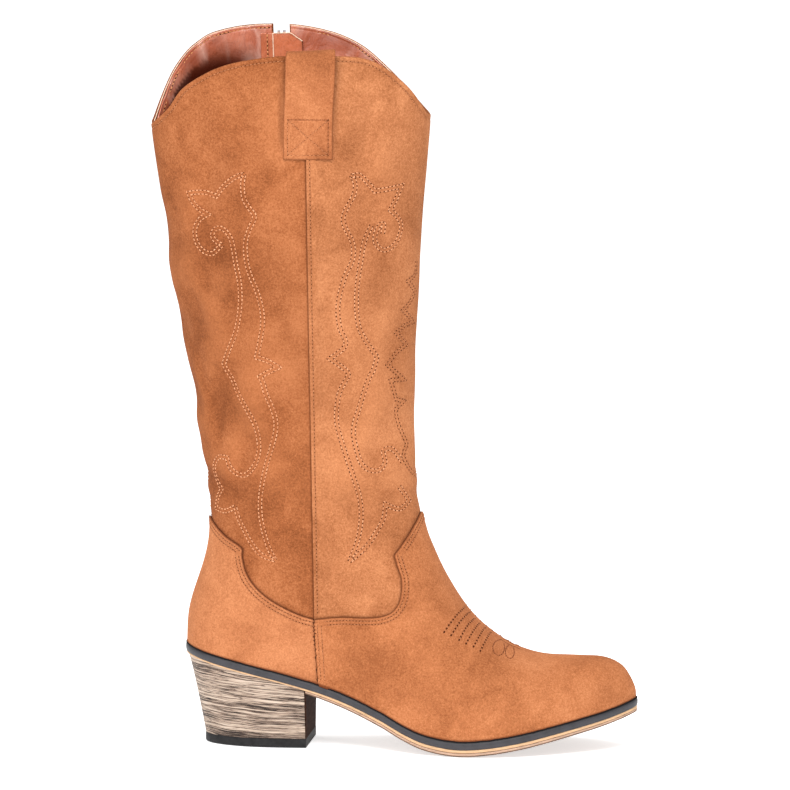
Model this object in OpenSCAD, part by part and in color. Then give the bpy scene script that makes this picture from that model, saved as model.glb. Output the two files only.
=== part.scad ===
// Knee-high western boot, right foot.
// Frame: +X towards the toe, +Y towards the inner (medial) side, +Z up.
// The origin is the middle of the heel's tread, on the ground. Millimetres.

/* [Shaft] */
// Height of the topline's highest point on the outer side
shaft_top = 428; // [400:2:430]
// Half width of the shaft at its top
calf_half_w = 41; // [38:0.5:44]
// Half width of the shaft at the ankle
ankle_half_w = 33; // [31.5:0.5:35]

/* [Upper] */
// Thickness of the outer material
suede_t = 1.2; // [0.8:0.1:1.2]
// Thickness of the lining
lining_t = 1.0; // [0.6:0.1:1.0]
// Lap of the vamp and counter over the shaft
collar_lap = 8; // [5:1:10]

/* [Sole and heel] */
// How far the welt stands proud of the upper
welt_proud = 2.0; // [1.2:0.1:3]
// Thickness of the welt
welt_t = 4.5; // [4:0.1:4.6]
// Width of the heel at its tread
heel_w = 50; // [44:1:54]
// Thickness of the rubber top lift
lift_t = 5.7; // [4:0.1:7]
// Thickness of the veneer around the heel
veneer_t = 0.8; // [0.5:0.1:1.2]

/* [Fittings] */
// Width of the pull strap
strap_w = 29.5; // [20:0.5:32]
// Pitch of the zip's teeth along one tape
tooth_pitch = 4.2; // [4:0.1:5]
// Half width of the opening the zip sits in
zip_gap = 5; // [4.8:0.1:5.4]
// Length of the zip's puller
puller_len = 24; // [16:1:28]

/* [Hidden] */
// The topline tables are drawn for a shaft 428 high; this moves them up or down
top_shift = shaft_top - 428;
heel_x = -43;
toe_x = 231;
// Half depth in Y of cutting slabs that clear the whole boot
reach = 150;

LINING_COLOUR = [0.80, 0.51, 0.42];
TAPE_COLOUR = [0.62, 0.36, 0.24];
TEETH_COLOUR = [0.2, 0.17, 0.15];
STOP_COLOUR = [0.7, 0.7, 0.72];
SLIDER_COLOUR = [0.72, 0.72, 0.74];

// ---- smooth interpolation of a table of [input, output] rows
function span_at(table, x, i = 0) =
    (i >= len(table) - 2 || x < table[i + 1][0]) ? i : span_at(table, x, i + 1);
function slope_at(table, i) =
    let (a = table[max(i - 1, 0)], b = table[min(i + 1, len(table) - 1)])
    (b[1] - a[1]) / (b[0] - a[0]);
// Cubic between the rows, straight beyond the ends
function smooth(table, x) =
    let (i = span_at(table, x),
        x0 = table[i][0], x1 = table[i + 1][0],
        y0 = table[i][1], y1 = table[i + 1][1],
        slope0 = slope_at(table, i), slope1 = slope_at(table, i + 1),
        d = x1 - x0, u = (x - x0) / d)
    u < 0 ? y0 + slope0 * (x - x0) :
    u > 1 ? y1 + slope1 * (x - x1) :
    (2 * u * u * u - 3 * u * u + 1) * y0 + (u * u * u - 2 * u * u + u) * d * slope0
    + (3 * u * u - 2 * u * u * u) * y1 + (u * u * u - u * u) * d * slope1;
// Eased step from 0 at a to 1 at b
function ease(a, b, x) = let (t = min(1, max(0, (x - a) / (b - a)))) t * t * (3 - 2 * t);
function unit(v) = v / max(norm(v), 1e-9);
function mix(a, b, t) = a * (1 - t) + b * t;

// ---- side view of the last and the shaft
// Line where the upper meets the welt: x, z
FEATHER = [[-43, 61], [-5, 52], [37, 40.7], [57.5, 33.6], [79, 24.2], [92.8, 17.2],
    [106.5, 11.9], [127, 8.9], [147, 10.2], [166, 13.4], [178, 16.1], [198, 21], [213, 24.7],
    [224, 27.8], [231, 30.2]];
// Back line of the boot: z, x
BACK = [[61, -43], [72.4, -42.6], [81.6, -41.6], [91, -39.4], [100.2, -36.4], [109.5, -33.3],
    [118.8, -30.8], [128, -29.4], [142.3, -29.2], [155.8, -30.4], [174.3, -33], [192.7, -36],
    [211.2, -38.8], [229.7, -41.9], [248.1, -45.4], [266.6, -48.8], [285, -52],
    [303.5, -54.6], [322, -56.9], [340.5, -59.5], [358.9, -62.2], [382.3, -65.2], [445, -70]];
// Front line of the boot, from the toe box up the shin: z, x
FRONT = [[58.8, 163.3], [63.8, 151.6], [73.3, 138.4], [82.7, 129], [92.3, 122],
    [101.7, 116.2], [111.1, 111.2], [120.1, 107.1], [131, 102.7], [145.1, 99], [158, 97.2],
    [176.5, 96], [207.3, 95.4], [244.4, 96.5], [278.3, 98.4], [315.4, 100.4], [343, 102.3],
    [361.7, 103.8], [387.7, 105.8], [445, 109.5]];
// Top of the foot along the middle of the vamp: x, z
RIDGE = [[99, 145.1], [102.7, 131], [107.1, 120.1], [111.2, 111.1], [116.2, 101.7],
    [122, 92.3], [129, 82.7], [138.4, 73.3], [151.6, 63.8], [163.3, 58.8], [176.1, 55.7],
    [188.7, 55.1], [200.8, 54.9], [212.9, 54.1], [218.2, 52.3], [223.9, 48.2], [228.9, 40]];
// Half width of the foot at the welt: x, half width
PLAN = [[-38, 15.6], [-25, 26], [-5, 29.5], [15, 28.1], [37, 27], [57, 28], [79, 32],
    [93, 36], [106, 39], [127, 42.6], [147, 43.2], [166, 41.2], [178, 38.2], [198, 31],
    [213, 22.6], [224, 12.8], [229, 6.7]];
// Half width of the shaft on the outer side: z, half width
SHAFT_W = [[60, ankle_half_w - 2], [95, ankle_half_w - 1.5], [145, ankle_half_w],
    [200, ankle_half_w + 1.5], [250, ankle_half_w + 4], [320, calf_half_w - 1.2],
    [380, calf_half_w - 0.2], [430, calf_half_w]];

function welt_z(x) = smooth(FEATHER, x);
function back_x(z) = smooth(BACK, z);
function front_x(z) = smooth(FRONT, z);

// Where the ridge of the foot turns into the shin
shin_x = RIDGE[0][0];
shin_z = RIDGE[0][1];
// The foot's section fades into the shaft's between these heights
blend_z0 = 65;
blend_z1 = 145;
ridge_end_x = toe_x + 0.2;

// Ridge and plan divided by round-ended curves, so that they close smoothly at the ends
RIDGE_RATIO = [for (p = RIDGE) [p[0], (p[1] - welt_z(p[0])) / sqrt(ridge_end_x - p[0])]];
PLAN_RATIO = [for (p = PLAN) [p[0], p[1] / sqrt((p[0] - heel_x) * (toe_x - p[0]))]];

// Height of the ridge above the welt line
function rise(x) =
    x < shin_x ? 130.4 + (shin_x - x) * 6 :
    sqrt(max(0, ridge_end_x - x)) * smooth(RIDGE_RATIO, x);
function plan_w(x) =
    sqrt(max(0, (x - heel_x) * (toe_x - x))) * smooth(PLAN_RATIO, min(max(x, -40), 230));
// Inward swing of the toe
function toe_in(x) = 4.5 * ease(120, toe_x, x);
// Middle of the boot: the toe's swing and the shaft's slight lean to the outer side
function mid_y(x, z) =
    toe_in(x) * (1 - ease(80, 150, z)) - 4 * pow(max(0, (z - 145) / 285), 1.2);

// ---- the zip runs along one straight line on the inner side
zip_z0 = 90;
zip_line_z1 = 437;
zip_len = zip_line_z1 + top_shift - zip_z0;
zip_twist = 3.5;
zip_inset = 1.6;
function zip_x(z) = 22 - 12.5 * (z - 88) / 349;
function zip_y(z) = ankle_half_w - 1.7
    + (z - zip_z0) * (calf_half_w - ankle_half_w - 1.8) / (zip_line_z1 - zip_z0);
function zip_point(z) = [zip_x(z), zip_y(z), z];
zip_dir = unit(zip_point(zip_line_z1) - zip_point(zip_z0));
zip_tilt_x = -asin(zip_dir[1]);
zip_tilt_y = atan2(zip_dir[0], zip_dir[2]);
// Zip frame: x along the width of the tapes, y outwards, z up the zip
module zip_frame()
    translate(zip_point(zip_z0)) rotate([zip_tilt_x, zip_tilt_y, 0]) rotate([0, 0, zip_twist])
        translate([0, -zip_inset, 0]) children();

// ---- half width of the upper at a point of the side view; side is -1 outer, +1 inner
// Widest half width at a height; on the inner side the section passes through the zip line
function ring_w(z, side) =
    let (middle = (back_x(z) + front_x(z)) / 2, half = (front_x(z) - back_x(z)) / 2)
    side < 0 ? smooth(SHAFT_W, z) :
    (zip_y(z) - mid_y(zip_x(z), z)) / sqrt(1 - pow(abs(zip_x(z) - middle) / half, 2.2));
function shaft_half_w(x, z, side) =
    let (half = (front_x(z) - back_x(z)) / 2, u = min(1, abs(x - back_x(z) - half) / half))
    ring_w(z, side) * sqrt(max(0, 1 - pow(u, 2.2)));
function foot_half_w(x, z) =
    let (plan_x = x + (heel_x - back_x(max(z, 61))) * (1 - ease(-45, 60, x)),
        above = max(0, z - welt_z(x)),
        u = min(1, above / max(rise(x), 0.01)),
        bulge = 1 + (0.12 * (1 - ease(50, 110, x)) + 0.03) * ease(0, 45, above))
    plan_w(plan_x) * bulge * sqrt(max(0, 1 - pow(u, 2.4)));
function half_w(x, z, side) =
    let (t = ease(blend_z0, blend_z1, z),
        foot = z >= blend_z1 ? 0 : foot_half_w(x, z),
        shaft = z <= blend_z0 ? 0 : shaft_half_w(x, z, side))
    foot * (1 - t) + shaft * t;
function skin(x, z, side) = [x, mid_y(x, z) + side * half_w(x, z, side), z];
// Point of the upper moved outwards by off
function off_skin(x, z, side, off) =
    let (e = 0.5,
        along_x = skin(x + e, z, side) - skin(x - e, z, side),
        along_z = skin(x, z + e, side) - skin(x, z - e, side))
    skin(x, z, side) + off * (-side) * unit(cross(along_x, along_z));

// ---- sections of the upper, from the topline down and out to the toe
// Place on the back line (minus) or welt line (plus), place on the shin (minus) or ridge (plus)
STATION = [[-384, -300], [-324, -240], [-264, -180], [-204, -121], [-160, -80], [-129, -46],
    [-100, -22], [-75, -8], [-50, 0], [-24, 2.5], [0, 5], [9, 6.5], [28, 10], [58, 14.5],
    [88, 21.5], [118, 32], [143, 44], [168, 57], [193, 73], [215, 87], [233, 100], [248, 111],
    [259, 119.5], [267, 126], [271.8, 130.6], [274, 132]];
// The stations with one more halfway between each two
SECTION = [for (i = [0:len(STATION) - 2]) for (j = [0:1]) mix(STATION[i], STATION[i + 1], j / 2),
    STATION[len(STATION) - 1]];
LAST = len(SECTION) - 1;
// Steps on one side of a section, and round both sides
HALF_STEPS = 9;
STEPS = 2 * HALF_STEPS;

// A closed section starts on the back line; an open one starts and ends on the welt
function closed(k) = SECTION[k][0] <= 0;
// Low or back end of a section: x, z
function low_end(p) =
    p <= 0 ? [back_x(61.45 - p), 61.45 - p] :
    let (x = heel_x + p) [x, welt_z(x) + 0.45 + 0.35 * ease(205, 228, x)];
// High or front end of a section: x, z
function high_end(p) =
    p <= 0 ? [front_x(shin_z - p), shin_z - p] :
    let (x = shin_x + p) [x, welt_z(x) + rise(x)];
// Spacing of the points along a section
function spread(p, t) = let (c = ease(0, 70, p)) (1 - c) * (1 - cos(180 * t)) / 2 + c * sin(90 * t);
function section_point(k, m, side) =
    let (low = SECTION[k][0],
        p = mix(low_end(low), high_end(SECTION[k][1]), spread(low, m / HALF_STEPS)))
    m == HALF_STEPS || (m == 0 && closed(k)) ? [p[0], mid_y(p[0], p[1]), p[1]] :
    skin(p[0], p[1], side);
// Along the outer side and back along the inner side; the last section is one point at the toe
function section(k) =
    k == LAST ? [for (n = [0:STEPS]) [toe_x, mid_y(toe_x, 35), 31.3]] :
    concat([for (m = [0:HALF_STEPS]) section_point(k, m, -1)],
        [for (m = [HALF_STEPS - 1:-1:0]) section_point(k, m, 1)]);
GRID = [for (k = [0:LAST]) section(k)];

// Along the welt the normal is laid level, so that the shell's edge stays on the welt
function grid_normal(k, n) =
    k == LAST ? unit([1, 0, 0.1]) :
    let (down = GRID[min(k + 1, LAST)][n] - GRID[max(k - 1, 0)][n],
        round = closed(k) ? GRID[k][(n + 1) % STEPS] - GRID[k][(n + STEPS - 1) % STEPS] :
            GRID[k][min(n + 1, STEPS)] - GRID[k][max(n - 1, 0)],
        v = unit(cross(down, round)))
    !closed(k) && (n == 0 || n == STEPS) ? unit([v[0], v[1], max(0, v[2])]) : v;
NORMALS = [for (k = [0:LAST]) [for (n = [0:STEPS]) grid_normal(k, n)]];

function grid_moved(off) =
    [for (k = [0:LAST]) for (n = [0:STEPS]) GRID[k][n] + off * NORMALS[k][n]];
// Index of a grid point; closed sections end on their first point
function grid_id(k, n) =
    k == LAST ? LAST * (STEPS + 1) : k * (STEPS + 1) + ((n == STEPS && closed(k)) ? 0 : n);
// Faces of one grid cell; the diagonals mirror about the middle
function cell_faces(k, n) =
    let (a = grid_id(k, n), b = grid_id(k, n + 1), c = grid_id(k + 1, n + 1), d = grid_id(k + 1, n))
    k == LAST - 1 ? [[a, b, grid_id(LAST, 0)]] :
    n < HALF_STEPS ? [[a, b, d], [b, c, d]] : [[a, b, c], [a, c, d]];
// Faces joining an edge of the outer surface to the inner surface's
function wall_faces(a, b, inside) = [[a, b, b + inside], [a, b + inside, a + inside]];

// Shell of the whole upper between two distances from its reference surface
module upper_shell(outer, inner) {
    inside = (LAST + 1) * (STEPS + 1);
    outer_faces = [for (k = [0:LAST - 1]) for (n = [0:STEPS - 1]) each cell_faces(k, n)];
    inner_faces = [for (f = outer_faces) [f[2] + inside, f[1] + inside, f[0] + inside]];
    top_faces = [for (n = [0:STEPS - 1]) each wall_faces(grid_id(0, n + 1), grid_id(0, n), inside)];
    welt_faces = [for (k = [0:LAST - 1]) if (!closed(k + 1)) each concat(
        wall_faces(grid_id(k, 0), grid_id(k + 1, 0), inside),
        wall_faces(grid_id(k + 1, STEPS), grid_id(k, STEPS), inside))];
    polyhedron(points = concat(grid_moved(outer), grid_moved(inner)),
        faces = concat(outer_faces, inner_faces, top_faces, welt_faces), convexity = 10);
}

// ---- outlines of the panels in the side view
// Curve through the points, four steps to each span
function curve(P) = [for (i = [0:len(P) - 2]) for (j = [0:3])
        let (t = j / 4, a = P[max(i - 1, 0)], b = P[i], c = P[i + 1], d = P[min(i + 2, len(P) - 1)])
        0.5 * ((2 * b) + (c - a) * t + (2 * a - 5 * b + 4 * c - d) * t * t
            + (3 * b - a - 3 * c + d) * t * t * t),
    P[len(P) - 1]];
// Scalloped collar from the back to the side seam, in two arcs that meet at a notch: x, z
COLLAR_BACK = concat(
    curve([[-38, 149], [-28, 138], [-18.5, 130.3], [-10.6, 126], [-6.3, 123.4]]),
    curve([[-6.6, 118.8], [-4.3, 110], [0.6, 102.1], [8.9, 94.4], [19.4, 88.1], [29.6, 83.6],
        [38, 81.3]]));
// Scalloped collar from the side seam to the tongue at the front: x, z
COLLAR_FRONT = concat(
    curve([[38, 81.3], [48, 82.4], [58, 83.1], [68.1, 83], [78.2, 83.7], [86, 86.5],
        [90.3, 92], [91.7, 99.8], [91.2, 107], [88.6, 114.2], [86.6, 120.8]]),
    curve([[90.4, 126.1], [94.8, 133.4], [98.5, 141.4], [100.4, 150], [103, 158]]));
// Topline, outer side and inner side: x, z
TOP_OUTER = [[-66, 380.5], [-52, 393.3], [-43.2, 405.2], [-29.4, 414.9], [-14.6, 421.6],
    [3.5, 425.8], [20.2, 427.8], [36, 428.2], [51.3, 428], [67.5, 427], [78.7, 422.8],
    [89.7, 414.2], [98.4, 403.9], [106.5, 388.2]];
TOP_INNER = [[-66, 380.5], [-63.3, 391.3], [-59.9, 401.4], [-55.2, 412.2], [-47.7, 423.1],
    [-39.5, 430.2], [-32.4, 434.2], [-16.1, 438], [-0.3, 439.3], [18.2, 438.9], [36.6, 436],
    [49.2, 432.2], [61.8, 425.9], [74.5, 416], [87.6, 404.4], [98, 394.6], [106.5, 388.2]];
// Plane that parts the outer side from the inner side
split_y = -3;
seam_gap = 0.05;

// Side view outline extruded from y0 to y1
module slab_xz(y0 = -reach, y1 = reach)
    rotate([90, 0, 0]) translate([0, 0, -y1]) linear_extrude(y1 - y0) children();
module vamp_2d() polygon(concat(COLLAR_FRONT, [[300, 158], [300, -20], [40.5, -20], [40.1, 41]]));
module counter_2d()
    polygon(concat(COLLAR_BACK, [[40, 41], [40.4, -20], [-90, -20], [-90, 149]]));
// Vamp and counter joined across the side seam, grown by grow
module lower_2d(grow) offset(delta = grow) {
    vamp_2d();
    counter_2d();
    translate([38, 0]) square([4, 80]);
}
module below_topline(drop) {
    for (s = [[TOP_OUTER, -reach, split_y], [TOP_INNER, split_y, reach]])
        slab_xz(s[1], s[2]) polygon(concat(
            [[-120, 379 + top_shift], [-66.1, 380.4 + top_shift - drop]],
            [for (i = [0:40]) let (x = -66 + 172.5 * i / 40)
                [x, smooth(s[0], x) + top_shift - drop]],
            [[150, 387 + top_shift], [150, -60], [-120, -60]]));
}
// Everything in front of the outer side seam and the zip, or everything behind them
module shaft_half(front) {
    gap = front ? seam_gap : -seam_gap;
    far_x = front ? 300 : -150;
    slab_xz(-reach, split_y) polygon([[34 + gap, 460], [36 + gap, 250], [38 + gap, 81],
        [40 + gap, -20], [far_x, -20], [far_x, 460]]);
    intersection() {
        slab_xz(split_y, reach) translate([-200, -30]) square([500, 500]);
        zip_frame() translate([front ? gap : gap - 300, -120, -150]) cube([300, 300, 700]);
    }
}
module inner_side() slab_xz(0, reach) translate([-200, 0]) square(500);
module zip_slot(half_width, from)
    zip_frame() translate([-half_width, -25, from]) cube([2 * half_width, 50, 460]);

// ---- upper
// Distances of the layers from the reference surface
cover_in = 0.3;
cover_out = cover_in + suede_t;
lining_out = -2;
lining_in = lining_out - lining_t;
stiffener_out = -0.1;
stiffener_in = -1.2;
// Clearance around the edges of the lining pieces
lining_gap = 0.15;

// A resize by zeros, here and below, keeps the size and joins the piece into one shape
module shaft_piece(outer, inner, front, lower_grow, slot_half_w, slot_from, drop)
    resize([0, 0, 0]) difference() {
        intersection() {
            upper_shell(outer, inner);
            shaft_half(front);
            below_topline(drop);
        }
        slab_xz() lower_2d(lower_grow);
        zip_slot(slot_half_w, slot_from);
    }
module shaft_panel(front) shaft_piece(outer = 0, inner = -suede_t, front = front,
    lower_grow = -collar_lap, slot_half_w = zip_gap, slot_from = -5.2, drop = 0);
module shaft_lining(front) shaft_piece(outer = lining_out, inner = lining_in, front = front,
    lower_grow = lining_gap, slot_half_w = zip_gap + 1, slot_from = -14, drop = 0.3);
module shaft_front_panel() color([0.83, 0.53, 0.34]) shaft_panel(true);
module shaft_back_panel() color([0.80, 0.49, 0.30]) shaft_panel(false);
module shaft_lining_front() color(LINING_COLOUR) shaft_lining(true);
module shaft_lining_back() color(LINING_COLOUR) shaft_lining(false);

// Part of the upper inside a side view outline
module foot_piece(outer, inner) resize([0, 0, 0]) intersection() {
    upper_shell(outer, inner);
    slab_xz() children();
}
module vamp() color([0.85, 0.54, 0.35])
    foot_piece(cover_out, cover_in) offset(delta = -seam_gap) vamp_2d();
module vamp_lining() color(LINING_COLOUR)
    foot_piece(lining_out, lining_in) offset(delta = -lining_gap) vamp_2d();
module counter_piece(outer, inner, gap) resize([0, 0, 0]) difference() {
    intersection() {
        upper_shell(outer, inner);
        slab_xz() offset(delta = -gap) counter_2d();
    }
    layer(grow = welt_proud, top = 0.05, bottom = -12, x1 = 45);
}
module counter_cover() color([0.88, 0.56, 0.38]) counter_piece(cover_out, cover_in, seam_gap);
module counter_lining() color(LINING_COLOUR) counter_piece(lining_out, lining_in, lining_gap);
module toe_puff() color([0.55, 0.5, 0.42]) foot_piece(stiffener_out, stiffener_in)
    polygon([[184, 10], [176, 80], [300, 80], [300, 10]]);
module heel_stiffener() color([0.6, 0.55, 0.45]) foot_piece(stiffener_out, stiffener_in)
    intersection() {
        polygon(concat([[-90, 118]], [for (a = [90:-10:0]) [26 * cos(a) - 18, 22 * sin(a) + 84]],
            [[16, 40], [-90, 40]]));
        offset(delta = -collar_lap - 0.4) lower_2d(0);
    }

// Strap over the topline on the outer side, its two faces: height, distance from the skin
STRAP_OUTER = [[365, 1.8], [379, 1.8], [392, 1.9], [405, 3.2], [418, 5.2], [425.5, 5.7],
    [430.3, 3.9], [432.1, 0.4], [431.8, -3], [429.4, -6], [425, -7.4], [416, -7.2],
    [406, -6.2], [396, -6]];
STRAP_INNER = [[365, 0.3], [379, 0.3], [392, 0.4], [405, 1.7], [418, 3.7], [425, 4.2],
    [428.9, 2.9], [430.4, 0], [430.2, -2.4], [428.4, -4.6], [424.6, -5.9], [416, -5.7],
    [406, -4.7], [396, -4.5]];
strap_x = 36.2;
module pull_strap() color([0.85, 0.55, 0.35]) {
    n = len(STRAP_OUTER);
    columns = 7;
    size = 2 * n;
    points = [for (i = [0:columns]) for (r = concat(STRAP_OUTER, STRAP_INNER))
        off_skin(strap_x + strap_w * (i / columns - 0.5), r[0] + top_shift, -1, r[1])];
    outer_faces = [for (i = [0:columns - 1]) for (j = [0:n - 2]) each
        let (a = i * size + j, b = a + size) [[a + 1, b + 1, b], [a + 1, b, a]]];
    inner_faces = [for (i = [0:columns - 1]) for (j = [n:size - 2]) each
        let (a = i * size + j, b = a + size) [[a, b, b + 1], [a, b + 1, a + 1]]];
    end_faces = [for (i = [0:columns - 1]) for (e = [[0, n], [size - 1, n - 1]]) each
        let (a = i * size + e[0], b = i * size + e[1]) [[a, a + size, b + size], [a, b + size, b]]];
    back_edge = [for (j = [0:n - 2]) each
        let (a = j, b = a + n) [[b + 1, a + 1, a], [b, b + 1, a]]];
    front_edge = [for (j = [0:n - 2]) each
        let (a = columns * size + j, b = a + n) [[b, a, a + 1], [b + 1, b, a + 1]]];
    polyhedron(points = points, convexity = 6,
        faces = concat(outer_faces, inner_faces, end_faces, back_edge, front_edge));
}

// ---- sole: layers that follow the welt line
SOLE_STEPS = 36;
outsole_x = 32.2;
// Half outline of the sole from heel to toe: x, half width
function sole_pt(i) =
    let (x = (toe_x + heel_x) / 2 - (toe_x - heel_x) / 2 * cos(180 * i / SOLE_STEPS))
    [x, plan_w(x)];
function sole_normal(i) =
    i == 0 ? [-1, 0] : i == SOLE_STEPS ? [1, 0] :
    let (t = sole_pt(i + 1) - sole_pt(i - 1)) unit([-t[1], t[0]]);
// The half outline grown outwards, without points that double back
function sole_edge(grow) =
    let (P = [for (i = [0:SOLE_STEPS]) sole_pt(i) + grow * sole_normal(i)])
    [for (i = [0:SOLE_STEPS]) if (i == 0 || P[i][0] > P[i - 1][0]) [P[i][0], max(P[i][1], 0.3)]];
// Places in x every layer shares, so that the layers lie flat on each other
SHARED_X = concat([-44.8, -44.3, -43.5], [for (i = [1:12]) sole_pt(i)[0]], [outsole_x],
    [for (i = [13:SOLE_STEPS - 1]) sole_pt(i)[0]], [231.5, 232.2, 232.7]);
// Rows of [x, half width] of the grown outline between x0 and x1
function sole_rows(grow, x0 = -100, x1 = 400) =
    let (edge = sole_edge(grow), a = max(x0, edge[0][0]), b = min(x1, edge[len(edge) - 1][0]))
    concat([[a, lookup(a, edge)]],
        [for (x = SHARED_X) if (x > a + 0.15 && x < b - 0.15) [x, lookup(x, edge)]],
        [[b, lookup(b, edge)]]);
// Solid over rows of [x, half width]; top and bottom give the height at each row
module sole_solid(rows, top, bottom) {
    n = len(rows);
    points = [for (i = [0:n - 1]) each
        let (x = rows[i][0], y = toe_in(x), w = rows[i][1])
        [[x, y - w, top[i]], [x, y + w, top[i]], [x, y + w, bottom[i]], [x, y - w, bottom[i]]]];
    end = 4 * n - 4;
    polyhedron(points = points, convexity = 6, faces = concat(
        [[2, 1, 0], [3, 2, 0]],
        [[end, end + 1, end + 2], [end, end + 2, end + 3]],
        [for (i = [0:n - 2]) for (j = [0:3]) each
            let (a = 4 * i + j, b = 4 * i + (j + 1) % 4) [[b + 4, a + 4, a], [b, b + 4, a]]]));
}
// Solid between two heights above the welt line
module band(rows, top, bottom)
    sole_solid(rows, [for (r = rows) welt_z(r[0]) + top], [for (r = rows) welt_z(r[0]) + bottom]);
module layer(grow, top, bottom, x1 = 400) band(sole_rows(grow, x1 = x1), top, bottom);

// Thickness of the midsole and of the outsole: x, thickness
MIDSOLE_T = [[-46, 1], [20, 1], [45, 1.6], [100, 1.9], [236, 1.7]];
OUTSOLE_T = [[30, 1.7], [60, 2.0], [110, 2.4], [180, 2.3], [236, 1.7]];
// Lowest the midsole's underside may come to the ground
midsole_floor = 2.4;
function midsole_z(x) = welt_z(x) - welt_t - lookup(x, MIDSOLE_T);

// Fastenings: x, y of the nails and the screw, x of the rivets
NAILS = [[-24, 0], [-12, -15], [-12, 15], [12, -15], [12, 15]];
SCREW = [-2, 0];
RIVETS = [-16, 74];
seat_tilt = atan2(9, 38);
// Drilled along the slope of the heel seat
module seat(p) translate([p[0], p[1], welt_z(p[0])]) rotate([0, seat_tilt, 0]) children();
module seat_holes(nail_d, screw_d) {
    for (p = NAILS) seat(p) translate([0, 0, -60]) cylinder(d = nail_d, h = 80, $fn = 16);
    seat(SCREW) translate([0, 0, -60]) cylinder(d = screw_d, h = 80, $fn = 20);
}
module rivet_at(x)
    translate([x, 0, welt_z(x)]) rotate([0, -atan2(welt_z(x + 2) - welt_z(x - 2), 4), 0])
        children();
module rivet_holes(d)
    for (x = RIVETS) rivet_at(x) translate([0, 0, -3.2]) cylinder(d = d, h = 9, $fn = 20);

module insole_board() color([0.72, 0.62, 0.48]) resize([0, 0, 0]) difference() {
    layer(grow = -4.1, top = 2.3, bottom = 0.1);
    seat_holes(2.6, 4.6);
    rivet_holes(4.4);
}
module sock_lining() color([0.83, 0.62, 0.50]) layer(grow = -5.6, top = 7.2, bottom = 4.4);
module bottom_filler() color([0.35, 0.28, 0.22]) resize([0, 0, 0]) difference() {
    layer(grow = -6.4, top = -0.1, bottom = -welt_t + 0.08);
    shank_body(0.25, 0.4, -2.1);
    seat_holes(2.6, 4.6);
    rivet_holes(6.6);
}
module welt_strip() color([0.13, 0.13, 0.14]) resize([0, 0, 0]) difference() {
    layer(grow = welt_proud, top = 0, bottom = -welt_t);
    layer(grow = -6.2, top = 1, bottom = -welt_t - 1);
}
module shank_body(grow, top, bottom)
    band([for (i = [0:16]) [-26 - grow + (110 + 2 * grow) * i / 16,
        grow + 7 - 1.6 * pow(abs(i / 8 - 1), 3)]], top, bottom);
module steel_shank() color([0.62, 0.63, 0.66]) resize([0, 0, 0]) difference() {
    shank_body(0, -0.25, -1.85);
    seat_holes(2.8, 4.8);
    rivet_holes(4.4);
}
module shank_rivets() color([0.7, 0.6, 0.35]) for (x = RIVETS) rivet_at(x) {
    translate([0, 0, -2.9]) cylinder(d = 6, h = 0.9);
    translate([0, 0, -2.9]) cylinder(d = 4, h = 5.9);
    translate([0, 0, 2.5]) cylinder(d = 7, h = 0.7);
}
module midsole() color([0.88, 0.74, 0.55]) resize([0, 0, 0]) difference() {
    union() {
        rows = sole_rows(welt_proud - 0.4);
        sole_solid(rows, [for (r = rows) welt_z(r[0]) - welt_t - 0.02],
            [for (r = rows) max(midsole_floor, midsole_z(r[0]))]);
    }
    seat_holes(2.6, 4.6);
    rivet_holes(0.1);
}
module outsole() color([0.80, 0.66, 0.50]) {
    rows = sole_rows(welt_proud - 0.2, x0 = outsole_x);
    sole_solid(rows, [for (r = rows) max(midsole_floor, midsole_z(r[0])) - 0.02],
        [for (r = rows) max(0, midsole_z(r[0]) - lookup(r[0], OUTSOLE_T))]);
}

// ---- heel: loops from the seat down to the tread, with a flat breast face at the front
LOOP_STEPS = 20;
LOOPS = 5;
breast_x = 32;
// -1 to 1 round a loop, from the breast round the back to the breast
function around(i) = i / LOOP_STEPS * 2 - 1;
function loop_x(i, rear_x) =
    breast_x - (breast_x - rear_x) * (1 - pow(abs(around(i)), 1.9));
// Half width with the sign of its side, nil at the back
function loop_y(i, w) = (around(i) < 0 ? -1 : 1) * (abs(around(i)) < 0.001 ? 0 : w);
function seat_pt(i, grow) =
    let (edge = sole_edge(grow), rear_x = edge[0][0], x = loop_x(i, rear_x))
    [x, loop_y(i, lookup(x, concat([[rear_x, 0]], edge)))];
function tread_pt(i, grow) =
    let (rear_x = -33 - grow, w = heel_w / 2 + grow, x = loop_x(i, rear_x),
        u = min(1, max(0, (breast_x - x) / (breast_x - rear_x))))
    [x, loop_y(i, w * pow(max(0, 1 - pow(u, 3.2)), 0.5) * (0.94 + 0.06 * sin(180 * u)))];
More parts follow.
